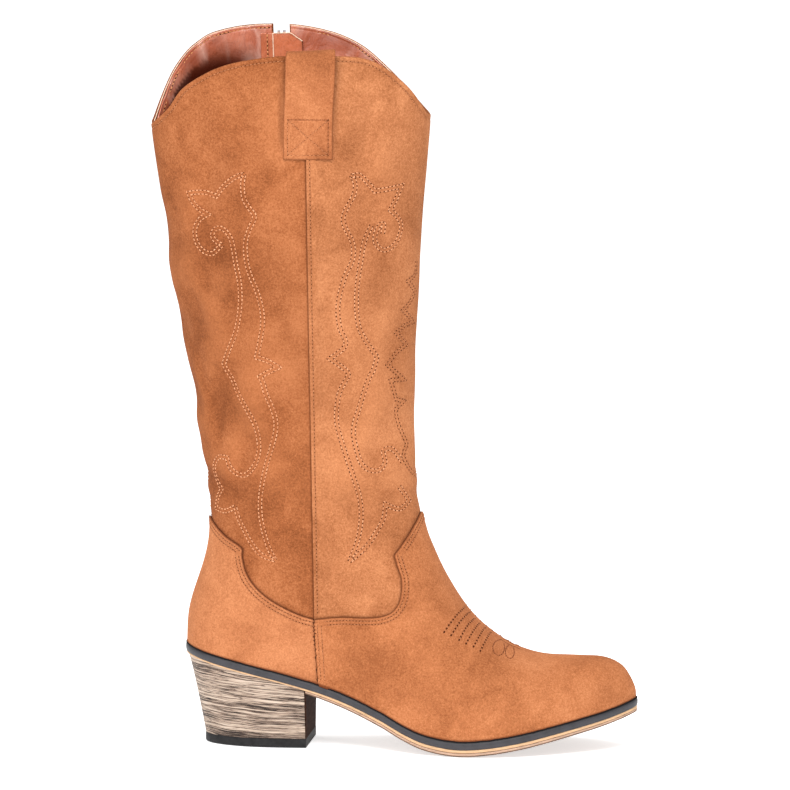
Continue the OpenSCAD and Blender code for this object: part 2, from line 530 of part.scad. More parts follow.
// v runs from 0 at the seat to 1 at the tread
function heel_loop(v, grow) = [for (i = [0:LOOP_STEPS])
    let (s = seat_pt(i, welt_proud - 1.2 + grow), p = mix(s, tread_pt(i, grow), pow(v, 0.85)))
    [p[0], p[1], mix(midsole_z(min(s[0], breast_x)) - 0.05, lift_t, v)]];
module heel_solid(grow) {
    size = LOOP_STEPS + 1;
    half = LOOP_STEPS / 2;
    side_faces = [for (v = [0:LOOPS - 1]) for (i = [0:LOOP_STEPS - 1]) each
        let (a = v * size + i, b = a + size) [[b + 1, a + 1, a], [b, b + 1, a]]];
    breast_faces = [for (v = [0:LOOPS - 1]) each
        let (a = v * size, b = a + size, e = a + LOOP_STEPS, f = e + size)
        [[f, b, a], [e, f, a]]];
    cap_faces = [for (k = [0, LOOPS]) for (i = [0:half - 1]) each
        let (a = k * size + i, b = a + 1, c = k * size + LOOP_STEPS - i, e = c - 1)
        k == 0 ? (i == half - 1 ? [[c, a, b]] : [[c, a, b], [e, c, b]]) :
        (i == half - 1 ? [[c, b, a]] : [[c, b, a], [e, b, c]])];
    polyhedron(points = [for (v = [0:LOOPS]) each heel_loop(v / LOOPS, grow)], convexity = 6,
        faces = concat(side_faces, breast_faces, cap_faces));
}
module heel_block() color([0.31, 0.24, 0.20]) resize([0, 0, 0]) difference() {
    heel_solid(-veneer_t);
    seat_holes(2.4, 4.2);
    dowels(5.2, 2.4, 14, $fn = 24);
}
module heel_wrap() color([0.80, 0.72, 0.63]) resize([0, 0, 0]) difference() {
    heel_solid(0);
    heel_solid(-veneer_t);
    translate([breast_x - 0.6, -60, -5]) cube([20, 120, 80]);
}
// Places of the dowels in x
DOWELS = [-14, 14];
module dowels(d, z, h) for (x = DOWELS) translate([x, 0, z]) cylinder(d = d, h = h);
module top_lift() color([0.22, 0.21, 0.20]) difference() {
    linear_extrude(lift_t - 0.05) polygon([for (i = [0:LOOP_STEPS]) tread_pt(i, 0)]);
    dowels(5.2, 2.4, 14);
}
module top_lift_dowels() color([0.6, 0.6, 0.62]) dowels(5, 2.5, 13);
module heel_nails() color([0.55, 0.55, 0.58]) for (p = NAILS) seat(p) {
    translate([0, 0, -24]) cylinder(d = 2.2, h = 27);
    translate([0, 0, 2.7]) cylinder(d = 5, h = 0.8);
}
module heel_screw() color([0.6, 0.6, 0.62]) seat(SCREW) {
    translate([0, 0, -34]) cylinder(d = 4, h = 37);
    translate([0, 0, 2.7]) cylinder(d = 9, h = 1.1);
}

// ---- zip; side is +1 for the front tape and -1 for the back
slider_z = zip_len - 10;
teeth_top = slider_z + 3;
tooth_h = 1.9;
cord_in = 1.9;
cord_out = 2.6;
tooth_tip = 0.9;
bail_y = 4.6;

module zip_guard() color([0.76, 0.44, 0.29]) resize([0, 0, 0]) intersection() {
    upper_shell(-4.9, -5.6);
    zip_frame() rotate([90, 0, 0]) linear_extrude(60, center = true)
        polygon([[-13, -2], [13.5, -2], [13.5, zip_len - 8], [6, zip_len - 2.5],
            [-13, zip_len - 2.5]]);
    inner_side();
}
module tape(side) resize([0, 0, 0]) intersection() {
    upper_shell(-1.35, -1.85);
    zip_frame() translate([side > 0 ? 2.7 : -14, -20, -5]) cube([11.3, 40, zip_len - 1]);
    inner_side();
}
module zip_tape_front() color(TAPE_COLOUR) tape(1);
module zip_tape_back() color(TAPE_COLOUR) tape(-1);
// Row of teeth with the cord that joins them; the back row is half a pitch higher
module teeth(side) {
    count = floor((teeth_top - 2) / tooth_pitch);
    tooth_points = [for (i = [count - 1:-1:0])
        let (z = 1.2 + i * tooth_pitch + (side > 0 ? 0 : tooth_pitch / 2))
        if (z + tooth_h <= teeth_top - 0.2) each
            [[side * cord_in, z + tooth_h], [-side * tooth_tip, z + tooth_h - 0.35],
                [-side * tooth_tip, z + 0.35], [side * cord_in, z]]];
    zip_frame() rotate([90, 0, 0]) linear_extrude(1.6, center = true) polygon(concat(
        [[side * cord_out, 0], [side * cord_out, teeth_top], [side * cord_in, teeth_top]],
        tooth_points, [[side * cord_in, 0]]));
}
module zip_teeth_front() color(TEETH_COLOUR) teeth(1);
module zip_teeth_back() color(TEETH_COLOUR) teeth(-1);
module zip_top_stops() color(STOP_COLOUR) zip_frame() for (side = [-1, 1])
    translate([side * 1.7 - 0.9, -1.1, slider_z + 6]) cube([1.8, 2.2, 2.6]);
module zip_bottom_stop() color(STOP_COLOUR)
    zip_frame() translate([-2.6, 0.3, -4.4]) cube([5.2, 0.9, 3.4]);
module at_slider() zip_frame() translate([0, 0, slider_z]) children();
// Two plates joined by a post, with a bail on the outer plate
module zip_slider() color(SLIDER_COLOUR) at_slider() union() {
    for (y = [-2.2, 1.3]) translate([0, y + 0.9, 0]) rotate([90, 0, 0]) linear_extrude(0.9)
        polygon([[-3.2, -5.5], [3.2, -5.5], [4.2, 1], [4.2, 4.6], [3.2, 5.5], [-3.2, 5.5],
            [-4.2, 4.6], [-4.2, 1]]);
    translate([-1, -2.1, 3.2]) cube([2, 4.2, 2]);
    for (side = [-1, 1]) translate([side * 2.7 - 0.6, 1.5, -1.7]) cube([1.2, 4.1, 3.4]);
    translate([-3, bail_y, 0]) rotate([0, 90, 0]) cylinder(d = 1.5, h = 6);
}
module zip_puller() color(SLIDER_COLOUR) at_slider() difference() {
    union() {
        translate([-1.7, bail_y, 0]) rotate([0, 90, 0]) cylinder(d = 3.2, h = 3.4);
        translate([-1.7, bail_y - 0.6, -6]) cube([3.4, 1.2, 5.2]);
        translate([0, bail_y + 0.6, 0]) rotate([90, 0, 0]) linear_extrude(1.2)
            polygon([[-1.7, -4], [1.7, -4], [3.6, -7.5], [3.6, 1.5 - puller_len],
                [2.2, -puller_len], [-2.2, -puller_len], [-3.6, 1.5 - puller_len],
                [-3.6, -7.5]]);
    }
    translate([-3, bail_y, 0]) rotate([0, 90, 0]) cylinder(d = 1.9, h = 6);
}

shaft_front_panel();
shaft_back_panel();
vamp();
counter_cover();
pull_strap();
shaft_lining_front();
shaft_lining_back();
vamp_lining();
counter_lining();
zip_guard();
toe_puff();
heel_stiffener();
insole_board();
sock_lining();
steel_shank();
shank_rivets();
bottom_filler();
welt_strip();
midsole();
outsole();
heel_block();
heel_wrap();
top_lift();
top_lift_dowels();
heel_screw();
heel_nails();
zip_tape_front();
zip_tape_back();
zip_teeth_front();
zip_teeth_back();
zip_slider();
zip_puller();
zip_top_stops();
zip_bottom_stop();
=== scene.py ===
# A tall suede boot with a stacked heel, a stitched shaft, a pull strap and a zip.
# Work is in millimetres until a mesh is built. +x points to the toe, +z up the leg.
# The outer side of the leg faces -y; the zip is on the inner side, at +y.
import math
from collections import namedtuple

import bpy
import numpy as np
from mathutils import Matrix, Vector, kdtree


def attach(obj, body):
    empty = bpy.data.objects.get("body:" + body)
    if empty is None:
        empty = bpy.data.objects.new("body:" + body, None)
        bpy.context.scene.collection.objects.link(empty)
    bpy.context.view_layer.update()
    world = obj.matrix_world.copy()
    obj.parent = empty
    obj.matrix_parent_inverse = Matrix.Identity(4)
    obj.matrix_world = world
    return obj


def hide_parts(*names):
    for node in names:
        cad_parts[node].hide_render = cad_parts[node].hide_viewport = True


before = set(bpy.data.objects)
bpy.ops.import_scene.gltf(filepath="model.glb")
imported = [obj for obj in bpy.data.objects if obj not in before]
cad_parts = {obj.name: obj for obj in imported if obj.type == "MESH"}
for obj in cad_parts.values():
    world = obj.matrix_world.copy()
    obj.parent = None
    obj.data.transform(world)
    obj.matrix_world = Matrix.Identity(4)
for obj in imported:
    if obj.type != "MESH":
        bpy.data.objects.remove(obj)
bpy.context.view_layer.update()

MM = 0.001


# ------------------------------------------------------------------ curves and noise
def ease(start, end, x):
    """Smooth step from 0 at start to 1 at end; start may be the larger."""
    t = np.clip((np.asarray(x, float) - start) / (end - start), 0, 1)
    return t * t * (3 - 2 * t)


def bell(x, centre, width):
    return np.exp(-((x - centre) / width) ** 2)


def spline(table, x):
    """Smooth curve through the table's (x, value) points, straight beyond its ends."""
    table = np.asarray(table, float)
    knots, values = table[:, 0], table[:, 1]
    slopes = np.empty(len(knots))
    slopes[1:-1] = (values[2:] - values[:-2]) / (knots[2:] - knots[:-2])
    slopes[0] = (values[1] - values[0]) / (knots[1] - knots[0])
    slopes[-1] = (values[-1] - values[-2]) / (knots[-1] - knots[-2])
    x = np.asarray(x, float)
    i = np.clip(np.searchsorted(knots, x, side="right") - 1, 0, len(knots) - 2)
    gap = knots[i + 1] - knots[i]
    u = (x - knots[i]) / gap
    result = ((2 * u**3 - 3 * u**2 + 1) * values[i] + (u**3 - 2 * u**2 + u) * gap * slopes[i]
              + (3 * u**2 - 2 * u**3) * values[i + 1] + (u**3 - u**2) * gap * slopes[i + 1])
    result = np.where(x < knots[0], values[0] + slopes[0] * (x - knots[0]), result)
    return np.where(x > knots[-1], values[-1] + slopes[-1] * (x - knots[-1]), result)


def linear(table, x):
    return np.interp(x, *np.transpose(table))


def unit(vectors):
    vectors = np.asarray(vectors, float)
    return vectors / np.maximum(np.linalg.norm(vectors, axis=-1, keepdims=True), 1e-12)


def cell_hash(cells, seed):
    h = (cells @ np.array([374761393, 668265263, 1274126177]) + seed * 974634777) & 0xFFFFFFFF
    h = ((h ^ (h >> 13)) * 1103515245) & 0xFFFFFFFF
    h = ((h ^ (h >> 16)) * 2246822519) & 0xFFFFFFFF
    return (h ^ (h >> 15)) / 4294967295.0


def value_noise(points, seed):
    """Smooth noise in -1..1 at points (n, 3), one cell per unit."""
    cells = np.floor(points)
    u = points - cells
    u = u * u * u * (u * (u * 6 - 15) + 10)
    cells = cells.astype(np.int64)
    total = 0
    for corner in np.ndindex(2, 2, 2):
        weight = np.where(corner, u, 1 - u).prod(axis=1)
        total = total + weight * cell_hash(cells + np.array(corner), seed)
    return total * 2 - 1


def smooth_line(points, steps):
    """Catmull-Rom curve with the given number of steps between points."""
    points = np.asarray(points, float)
    padded = np.vstack([points[:1], points, points[-1:]])
    line = []
    for i in range(len(points) - 1):
        a, b, c, d = padded[i:i + 4]
        for j in range(steps):
            t = j / steps
            line.append(0.5 * ((2 * b) + (c - a) * t + (2 * a - 5 * b + 4 * c - d) * t * t
                               + (3 * b - a - 3 * c + d) * t**3))
    line.append(points[-1])
    return np.array(line)


def lengths(path):
    """Distance travelled along the path at each of its points."""
    return np.r_[0, np.cumsum(np.linalg.norm(np.diff(path, axis=0), axis=1))]


def along(path, travelled, s):
    return np.stack([np.interp(s, travelled, column) for column in path.T], axis=-1)


def resample(path, spacing):
    path = np.asarray(path, float)
    travelled = lengths(path)
    count = max(2, int(round(travelled[-1] / spacing)) + 1)
    return along(path, travelled, np.linspace(0, travelled[-1], count))


# ------------------------------------------------------------------ the boot's shape
HEEL_X, TOE_X = -43.0, 231.0
# x, z of the line where the upper meets the welt
FEATHER = [
    [-43, 61], [-5, 52], [37, 40.7], [57.5, 33.6], [79, 24.2], [92.8, 17.2], [106.5, 11.9],
    [127, 8.9], [147, 10.2], [166, 13.4], [178, 16.1], [198, 21], [213, 24.7], [224, 27.8],
    [231, 30.2]]
# z, x of the back outline
BACK = [
    [61, -43], [72.4, -42.6], [81.6, -41.6], [91, -39.4], [100.2, -36.4], [109.5, -33.3],
    [118.8, -30.8], [128, -29.4], [142.3, -29.2], [155.8, -30.4], [174.3, -33], [192.7, -36],
    [211.2, -38.8], [229.7, -41.9], [248.1, -45.4], [266.6, -48.8], [285, -52], [303.5, -54.6],
    [322, -56.9], [340.5, -59.5], [358.9, -62.2], [382.3, -65.2], [445, -70]]
# z, x of the front outline
FRONT = [
    [58.8, 163.3], [63.8, 151.6], [73.3, 138.4], [82.7, 129], [92.3, 122], [101.7, 116.2],
    [111.1, 111.2], [120.1, 107.1], [131, 102.7], [145.1, 99], [158, 97.2], [176.5, 96],
    [207.3, 95.4], [244.4, 96.5], [278.3, 98.4], [315.4, 100.4], [343, 102.3], [361.7, 103.8],
    [387.7, 105.8], [445, 109.5]]
# x, z of the ridge from the ankle to the toe
RIDGE = np.array([
    [99, 145.1], [102.7, 131], [107.1, 120.1], [111.2, 111.1], [116.2, 101.7], [122, 92.3],
    [129, 82.7], [138.4, 73.3], [151.6, 63.8], [163.3, 58.8], [176.1, 55.7], [188.7, 55.1],
    [200.8, 54.9], [212.9, 54.1], [218.2, 52.3], [223.9, 48.2], [228.9, 40]])
# x, half width of the foot seen from above
PLAN = np.array([
    [-38, 15.6], [-25, 26], [-5, 29.5], [15, 28.1], [37, 27], [57, 28], [79, 32], [93, 36],
    [106, 39], [127, 42.6], [147, 43.2], [166, 41.2], [178, 38.2], [198, 31], [213, 22.6],
    [224, 12.8], [229, 6.7]])
# z, half width of the shaft's outer side
SHAFT_WIDTH = [
    [60, 31], [95, 31.5], [145, 33], [200, 34.5], [250, 37], [320, 39.8], [380, 40.8],
    [430, 41]]
RIDGE_END = TOE_X + 0.2


def feather_z(x):
    return spline(FEATHER, x)


# ridge and plan divided by the round ends they run into
RIDGE_SHAPE = np.column_stack([
    RIDGE[:, 0], (RIDGE[:, 1] - feather_z(RIDGE[:, 0])) / np.sqrt(RIDGE_END - RIDGE[:, 0])])
PLAN_SHAPE = np.column_stack([
    PLAN[:, 0], PLAN[:, 1] / np.sqrt((PLAN[:, 0] - HEEL_X) * (TOE_X - PLAN[:, 0]))])


def back_x(z):
    return spline(BACK, z)


def front_x(z):
    return spline(FRONT, z)


def rise(x):
    """Height of the ridge over the feather line; steep behind the ankle's front."""
    x = np.asarray(x, float)
    ahead = np.sqrt(np.maximum(0, RIDGE_END - x)) * spline(RIDGE_SHAPE, np.maximum(x, 99))
    return np.where(x < 99, 130.4 + (99 - x) * 6, ahead)


def plan_width(x):
    x = np.asarray(x, float)
    ends = np.sqrt(np.maximum(0, (x - HEEL_X) * (TOE_X - x)))
    return ends * spline(PLAN_SHAPE, np.clip(x, -40, 230))


def toe_in(x):
    return 4.5 * ease(120, 231, x)


def centre_y(x, z):
    leg = np.maximum(0, (np.asarray(z, float) - 145) / 285)
    return toe_in(x) * (1 - ease(80, 150, z)) - 4 * leg ** 1.2


# ---- the zip's line and its own frame
ZIP_FOOT, ZIP_TOP = 90.0, 437.0
ZIP_LENGTH = ZIP_TOP - ZIP_FOOT
ZIP_TWIST = math.radians(3.5)


def zip_x(z):
    return 22 - 12.5 * (z - 88) / 349


def zip_y(z):
    return 31.3 + (z - ZIP_FOOT) * 6.2 / ZIP_LENGTH


def turn(axis, angle):
    """Rotation matrix about x (0), y (1) or z (2)."""
    i, j = (axis + 1) % 3, (axis + 2) % 3
    matrix = np.eye(3)
    matrix[i, i] = matrix[j, j] = math.cos(angle)
    matrix[i, j] = -math.sin(angle)
    matrix[j, i] = math.sin(angle)
    return matrix


ZIP_START, ZIP_END = (np.array([zip_x(z), zip_y(z), z]) for z in (ZIP_FOOT, ZIP_TOP))
zip_way = unit(ZIP_END - ZIP_START)
ZIP_AXES = (turn(1, math.atan2(zip_way[0], zip_way[2])) @ turn(0, -math.asin(zip_way[1]))
            @ turn(2, ZIP_TWIST))


def to_zip(points):
    """Points in the zip's frame: x across the tapes, y outwards, z up the zip."""
    return (np.asarray(points) - ZIP_START) @ ZIP_AXES


def ring_width(z, side):
    """Half width of the shaft; the inner side passes through the zip's line."""
    half = (front_x(z) - back_x(z)) / 2
    middle = (front_x(z) + back_x(z)) / 2
    bulge = np.sqrt(1 - (np.abs(zip_x(z) - middle) / half) ** 2.2)
    inner = (zip_y(z) - centre_y(zip_x(z), z)) / bulge
    return np.where(side < 0, spline(SHAFT_WIDTH, z), inner)


def half_width(x, z, side):
    """Half width of the boot: the foot's shape low down, the shaft's above."""
    x, z, side = np.broadcast_arrays(*(np.asarray(a, float) for a in (x, z, side)))
    blend = ease(65, 145, z)
    plan_x = x + (HEEL_X - back_x(np.maximum(z, 61))) * (1 - ease(-45, 60, x))
    height = np.maximum(0, z - feather_z(x))
    climb = np.minimum(1, height / np.maximum(rise(x), 0.01))
    bulge = 1 + (0.12 * (1 - ease(50, 110, x)) + 0.03) * ease(0, 45, height)
    foot = plan_width(plan_x) * bulge * np.sqrt(np.maximum(0, 1 - climb**2.4))
    leg_z = np.maximum(z, 60.5)
    half = (front_x(leg_z) - back_x(leg_z)) / 2
    across = np.minimum(1, np.abs(x - back_x(leg_z) - half) / half)
    leg = ring_width(leg_z, side) * np.sqrt(np.maximum(0, 1 - across**2.2))
    return np.where(z >= 145, leg,
                    np.where(z <= 65, foot, foot * (1 - blend) + leg * blend))


def skin(x, z, side):
    return np.stack([x, centre_y(x, z) + side * half_width(x, z, side), z], axis=-1)


def on_skin(x, z, side):
    """Points of the reference surface and outward normals, sound on the outline too."""
    x, z, side = np.broadcast_arrays(*(np.asarray(a, float) for a in (x, z, side)))
    e = 0.25
    half = half_width(x, z, side)
    grad_x = (half_width(x + e, z, side) ** 2 - half_width(x - e, z, side) ** 2) / (2 * e)
    grad_z = (half_width(x, z + e, side) ** 2 - half_width(x, z - e, side) ** 2) / (2 * e)
    centre_dx = (centre_y(x + e, z) - centre_y(x - e, z)) / (2 * e)
    centre_dz = (centre_y(x, z + e) - centre_y(x, z - e)) / (2 * e)
    normals = unit(np.stack([-2 * side * half * centre_dx - grad_x, 2 * side * half,
                             -2 * side * half * centre_dz - grad_z], axis=-1))
    return skin(x, z, side), normals


def on_zip(across, up):
    """Points and normals of the inner side, from a place in the zip's frame."""
    spots = np.stack([across, 0 * up, up], -1) @ ZIP_AXES.T + ZIP_START
    return on_skin(spots[:, 0], spots[:, 2], 1.0)


# x, z of the topline on the outer and on the inner side
TOP_OUTER = [
    [-66, 380.5], [-52, 393.3], [-43.2, 405.2], [-29.4, 414.9], [-14.6, 421.6], [3.5, 425.8],
    [20.2, 427.8], [36, 428.2], [51.3, 428], [67.5, 427], [78.7, 422.8], [89.7, 414.2],
    [98.4, 403.9], [106.5, 388.2]]
TOP_INNER = [
    [-66, 380.5], [-63.3, 391.3], [-59.9, 401.4], [-55.2, 412.2], [-47.7, 423.1],
    [-39.5, 430.2], [-32.4, 434.2], [-16.1, 438], [-0.3, 439.3], [18.2, 438.9], [36.6, 436],
    [49.2, 432.2], [61.8, 425.9], [74.5, 416], [87.6, 404.4], [98, 394.6], [106.5, 388.2]]
# x, z of the scalloped upper edges, two arcs each, meeting at a notch
COUNTER_ARCS = [smooth_line(arc, 12) for arc in (
    [[-38, 149], [-28, 138], [-18.5, 130.3], [-10.6, 126], [-6.3, 123.4]],
    [[-6.6, 118.8], [-4.3, 110], [0.6, 102.1], [8.9, 94.4], [19.4, 88.1], [29.6, 83.6],
     [38, 81.3]])]
VAMP_ARCS = [smooth_line(arc, 12) for arc in (
    [[38, 81.3], [48, 82.4], [58, 83.1], [68.1, 83], [78.2, 83.7], [86, 86.5], [90.3, 92],
     [91.7, 99.8], [91.2, 107], [88.6, 114.2], [86.6, 120.8]],
    [[90.4, 126.1], [94.8, 133.4], [98.5, 141.4], [100.4, 150], [103, 158]])]
COUNTER_EDGE, VAMP_EDGE = np.vstack(COUNTER_ARCS), np.vstack(VAMP_ARCS)
VAMP_OUTLINE = np.vstack([
    VAMP_EDGE, [[300, 158], [300, -20], [40.5, -20], [40.1, 41]]])
COUNTER_OUTLINE = np.vstack([
    COUNTER_EDGE, [[40, 41], [40.4, -20], [-90, -20], [-90, 149]]])


def top_z(x, side):
    x = np.clip(x, -66, 106.5)
    return np.where(side < 0, spline(TOP_OUTER, x), spline(TOP_INNER, x))


def seam_x(z):
    """The shaft's side seam on the outer side."""
    return np.interp(z, [-20, 81, 250, 460], [40, 38, 36, 34])


def cross_x(z):
    """The seam between vamp and counter cover, on both sides."""
    return np.interp(z, [-20, 41, 81], [40.4, 40, 38])


def inside(points, outline):
    x, y = points[:, 0], points[:, 1]
    result = np.zeros(len(points), bool)
    for (x0, y0), (x1, y1) in zip(outline, np.roll(outline, -1, axis=0)):
        if y0 == y1:
            continue
        spans = (y0 > y) != (y1 > y)
        result ^= spans & (x < (x1 - x0) * (y - y0) / (y1 - y0) + x0)
    return result


# ------------------------------------------------------------------ slack folds of the suede
# centre x, z, side, half length, half width, degrees from the vertical, height
FOLDS = [
    (-22, 262, -1, 46, 9, 12, 0.9), (-6, 232, -1, 40, 8, -14, 0.8),
    (-30, 214, -1, 30, 7, 22, 0.7), (8, 196, -1, 34, 9, -8, 0.7),
    (-14, 178, -1, 22, 6, 30, 0.6), (62, 180, -1, 34, 9, 16, 0.55),
    (76, 230, -1, 44, 9, 5, 0.6), (-40, 318, -1, 42, 9, 6, 0.7),
    (84, 350, -1, 34, 8, -6, 0.7), (70, 150, -1, 20, 7, 32, 0.5),
    (-26, 240, 1, 44, 9, -10, 0.8), (-36, 320, 1, 40, 9, 8, 0.7),
    (60, 200, 1, 40, 9, 10, 0.6), (78, 300, 1, 44, 9, -6, 0.6),
    (-8, 176, 1, 26, 7, 20, 0.6), (-32, 281, -1, 20, 4.5, -18, 0.75),
    (-42, 252, -1, 14, 5, -15, -0.7), (-22, 268, -1, 13, 6, 0, 0.65),
    (-35, 256, -1, 12, 5, 5, -0.5), (-33, 222, -1, 20, 3, -6, 0.6),
    (-27, 205, -1, 18, 4, 8, 0.55), (-33, 187, -1, 12, 5, -10, -0.6),
    (-10, 250, -1, 30, 7, 10, -0.45)]
# z, how far the slack stands out along the back and the front line
SLACK_BACK = [
    [110, 0], [150, 0], [157, 0.5], [167, -1.2], [174, 0.6], [181, 1.9], [192, 1.2], [203, 0],
    [213, -1.5], [222, -1.8], [238, -0.5], [250, 0], [262, -1.2], [276, -1], [286, 0],
    [298, 0.6], [310, -0.8], [325, -1.2], [342, 0], [450, 0]]
SLACK_FRONT = [
    [110, 0], [148, 0.2], [170, 0.9], [188, 0.9], [204, 0.5], [218, 1.2], [230, 1.7],
    [245, 1.1], [262, 1.1], [285, 0.5], [310, 0], [450, 0]]


def wrinkle(points):
    """Height of folds and unevenness at the points, outwards."""
    points = np.asarray(points, float)
    x, y, z = points[:, 0], points[:, 1], points[:, 2]
    side = np.where(y - centre_y(x, z) < 0, -1.0, 1.0)
    shaft = ease(120, 165, z)
    calm = 1 - 0.75 * ease(375, 420, z)
    back = 1 - ease(-10, 70, x)
    height = (0.7 * value_noise(points / np.array([34, 34, 60.0]), 3)
              + 0.42 * value_noise(points / np.array([13, 13, 30.0]), 7))
    height = height * shaft * calm * (0.75 + 0.9 * back * ease(330, 240, z))
    for fold_x, fold_z, fold_side, length, width, degrees, swell in FOLDS:
        cos, sin = math.cos(math.radians(degrees)), math.sin(math.radians(degrees))
        dx, dz = x - fold_x, z - fold_z
        across = dx * cos - dz * sin
        down = dx * sin + dz * cos
        across = across + 2.2 * np.sin(down / 9.0)
        shape = bell(across, 0, width) - 0.55 * bell(across, 1.5 * width, width)
        shape = shape * np.exp(-(down / length) ** 4)
        height = height + 1.7 * swell * shape * (side == fold_side) * shaft
    from_back, from_front = x - back_x(z), front_x(z) - x
    share = np.where(side < 0, 1.0, 0.7)
    height = (height + spline(SLACK_BACK, z + 0.3 * from_back) * bell(from_back, 0, 17.0) * share
              + spline(SLACK_FRONT, z - 0.2 * from_front) * bell(from_front, 0, 13.0) * share)
    # creases that ring the ankle at its front and back
    ankle = bell(z, 158, 16.0) * (ease(60, 92, x) + ease(0, -24, x))
    height = height + 0.45 * ankle * np.sin(
        (z + 0.25 * y) / 3.6 + 1.2 * value_noise(points / 22.0, 11))
    # slight unevenness over the foot
    height = height + (0.16 * (1 - shaft) * value_noise(points / 20.0, 5)
                       * ease(2, 14, z - feather_z(x)))
    # the suede lies flat beside the zip
    zip_across = np.abs(to_zip(points)[:, 0])
    return height * (1 - (y > 0) * (1 - ease(10, 28, zip_across)) * ease(60, 90, z))


# ------------------------------------------------------------------ mesh helpers
def ring_index(rings, count, closed=False):
    """Vertex numbers of rings of points; closed repeats the first column at the end."""
    index = np.arange(rings * count).reshape(rings, count)
    return np.c_[index, index[:, :1]] if closed else index


def quads(index, flip=False):
    """Faces between neighbours of a vertex table, row by row; flip turns them over."""
    here, right = index[:-1, :-1], index[:-1, 1:]
    beyond, below = index[1:, 1:], index[1:, :-1]
    corners = (here, below, beyond, right) if flip else (here, right, beyond, below)
    return np.stack(corners, -1).reshape(-1, 4).tolist()


def compact(rows, faces):
    """Drops the vertices that no face uses."""
    used = np.zeros(len(rows), bool)
    used[[q for face in faces for q in face]] = True
    new = (np.cumsum(used) - 1).tolist()
    return rows[used], [tuple(new[q] for q in face) for face in faces]


def cut(rows, faces, values, drop=False):
    """Cuts the faces where values cross zero; drop removes the negative part."""
    values = np.where(np.abs(values) < 2e-3, 0.0, values)
    signs = np.sign(values).astype(int).tolist()
    values = values.tolist()
    added, known = [], {}
    first = len(rows)
    above, below = [], []

    def crossing(i, j):
        key = (i, j) if i < j else (j, i)
        if key not in known:
            a, b = key
            t = values[a] / (values[a] - values[b])
            added.append(rows[a] * (1 - t) + rows[b] * t)
            known[key] = first + len(added) - 1
        return known[key]

    for face in faces:
        face_signs = [signs[q] for q in face]
        if min(face_signs) >= 0:
            above.append(face)
            continue
        if max(face_signs) <= 0:
            below.append(face)
            continue
        upper, lower = [], []
        for k, i in enumerate(face):
            after = (k + 1) % len(face)
            if face_signs[k] >= 0:
                upper.append(i)
            if face_signs[k] <= 0:
                lower.append(i)
            if face_signs[k] * face_signs[after] < 0:
                new = crossing(i, face[after])
                upper.append(new)
                lower.append(new)
        if len(upper) > 2:
            above.append(tuple(upper))
        if len(lower) > 2:
            below.append(tuple(lower))
    if added:
        rows = np.vstack([rows, np.array(added)])
    return rows, above if drop else above + below


def shell(outer, inner, faces):
    """Closed mesh from an outer skin and the matching inner skin."""
    n = len(outer)
    edges = {}
    for face in faces:
        for k, i in enumerate(face):
            edges[i, face[(k + 1) % len(face)]] = True
    rim_faces = [(b, a, a + n, b + n) for a, b in edges if (b, a) not in edges]
    back = [tuple(q + n for q in reversed(face)) for face in faces]
    return np.vstack([outer, inner]), list(faces) + back + rim_faces


def tube(path, radius, closed=False):
    """Eight-sided tube swept along a path."""
    segments = 8
    path = np.asarray(path, float)
    count = len(path)
    if closed:
        tangents = unit(np.roll(path, -1, 0) - np.roll(path, 1, 0))
    else:
        tangents = unit(np.gradient(path, axis=0))
    across = np.empty_like(path)
    carried = unit(np.cross(tangents[0], [0, 0, 1.0] if abs(tangents[0][2]) < 0.9 else [1, 0, 0]))
    for i in range(count):
        carried = unit(carried - tangents[i] * np.dot(carried, tangents[i]))
        across[i] = carried
    other = np.cross(tangents, across)
    angles = (np.arange(segments) * 2 * math.pi / segments)[None, :, None]
    points = path[:, None] + radius * (np.cos(angles) * across[:, None]
                                       + np.sin(angles) * other[:, None])
    index = ring_index(count, segments, True)
    if closed:
        return points.reshape(-1, 3), quads(np.vstack([index, index[:1]]))
    ends = [tuple(range(segments - 1, -1, -1)), tuple(index[-1, :-1].tolist())]
    return points.reshape(-1, 3), quads(index) + ends


class Parts:
    """Gathers many small pieces into one mesh."""

    def __init__(self):
        self.points, self.faces, self.count = [], [], 0

    def add(self, points, faces):
        self.points.append(np.asarray(points, float))
        self.faces += [tuple(q + self.count for q in face) for face in faces]
        self.count += len(points)

    def mesh(self):
        return np.vstack(self.points), self.faces


def build(name, points, faces, material, slot, nodes=(), sharp=38, attributes=None):
    """Makes the object; sharp is the angle in degrees above which edges stay hard."""
    mesh = bpy.data.meshes.new(name)
    mesh.from_pydata((np.asarray(points) * MM).tolist(), [], [tuple(f) for f in faces])
    mesh.validate()
    mesh.polygons.foreach_set("use_smooth", [True] * len(mesh.polygons))
    if sharp:
        mesh.set_sharp_from_angle(angle=math.radians(sharp))
    for key, values in (attributes or {}).items():
        attribute = mesh.attributes.new(key, "FLOAT", "POINT")
        attribute.data.foreach_set("value", np.asarray(values, np.float32))
    mesh.update()
    thing = bpy.data.objects.new(name, mesh)
    bpy.context.scene.collection.objects.link(thing)
    thing.data.materials.append(material)
    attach(thing, "root")
    if nodes:
        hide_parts(*nodes)


# ------------------------------------------------------------------ material helpers
def srgb(red, green, blue):
    def to_linear(c):
        c /= 255.0
        return c / 12.92 if c <= 0.04045 else ((c + 0.055) / 1.055) ** 2.4
    return (to_linear(red), to_linear(green), to_linear(blue), 1.0)


def tinted(colour, red, green, blue):
    return (colour[0] * red, colour[1] * green, colour[2] * blue, 1)


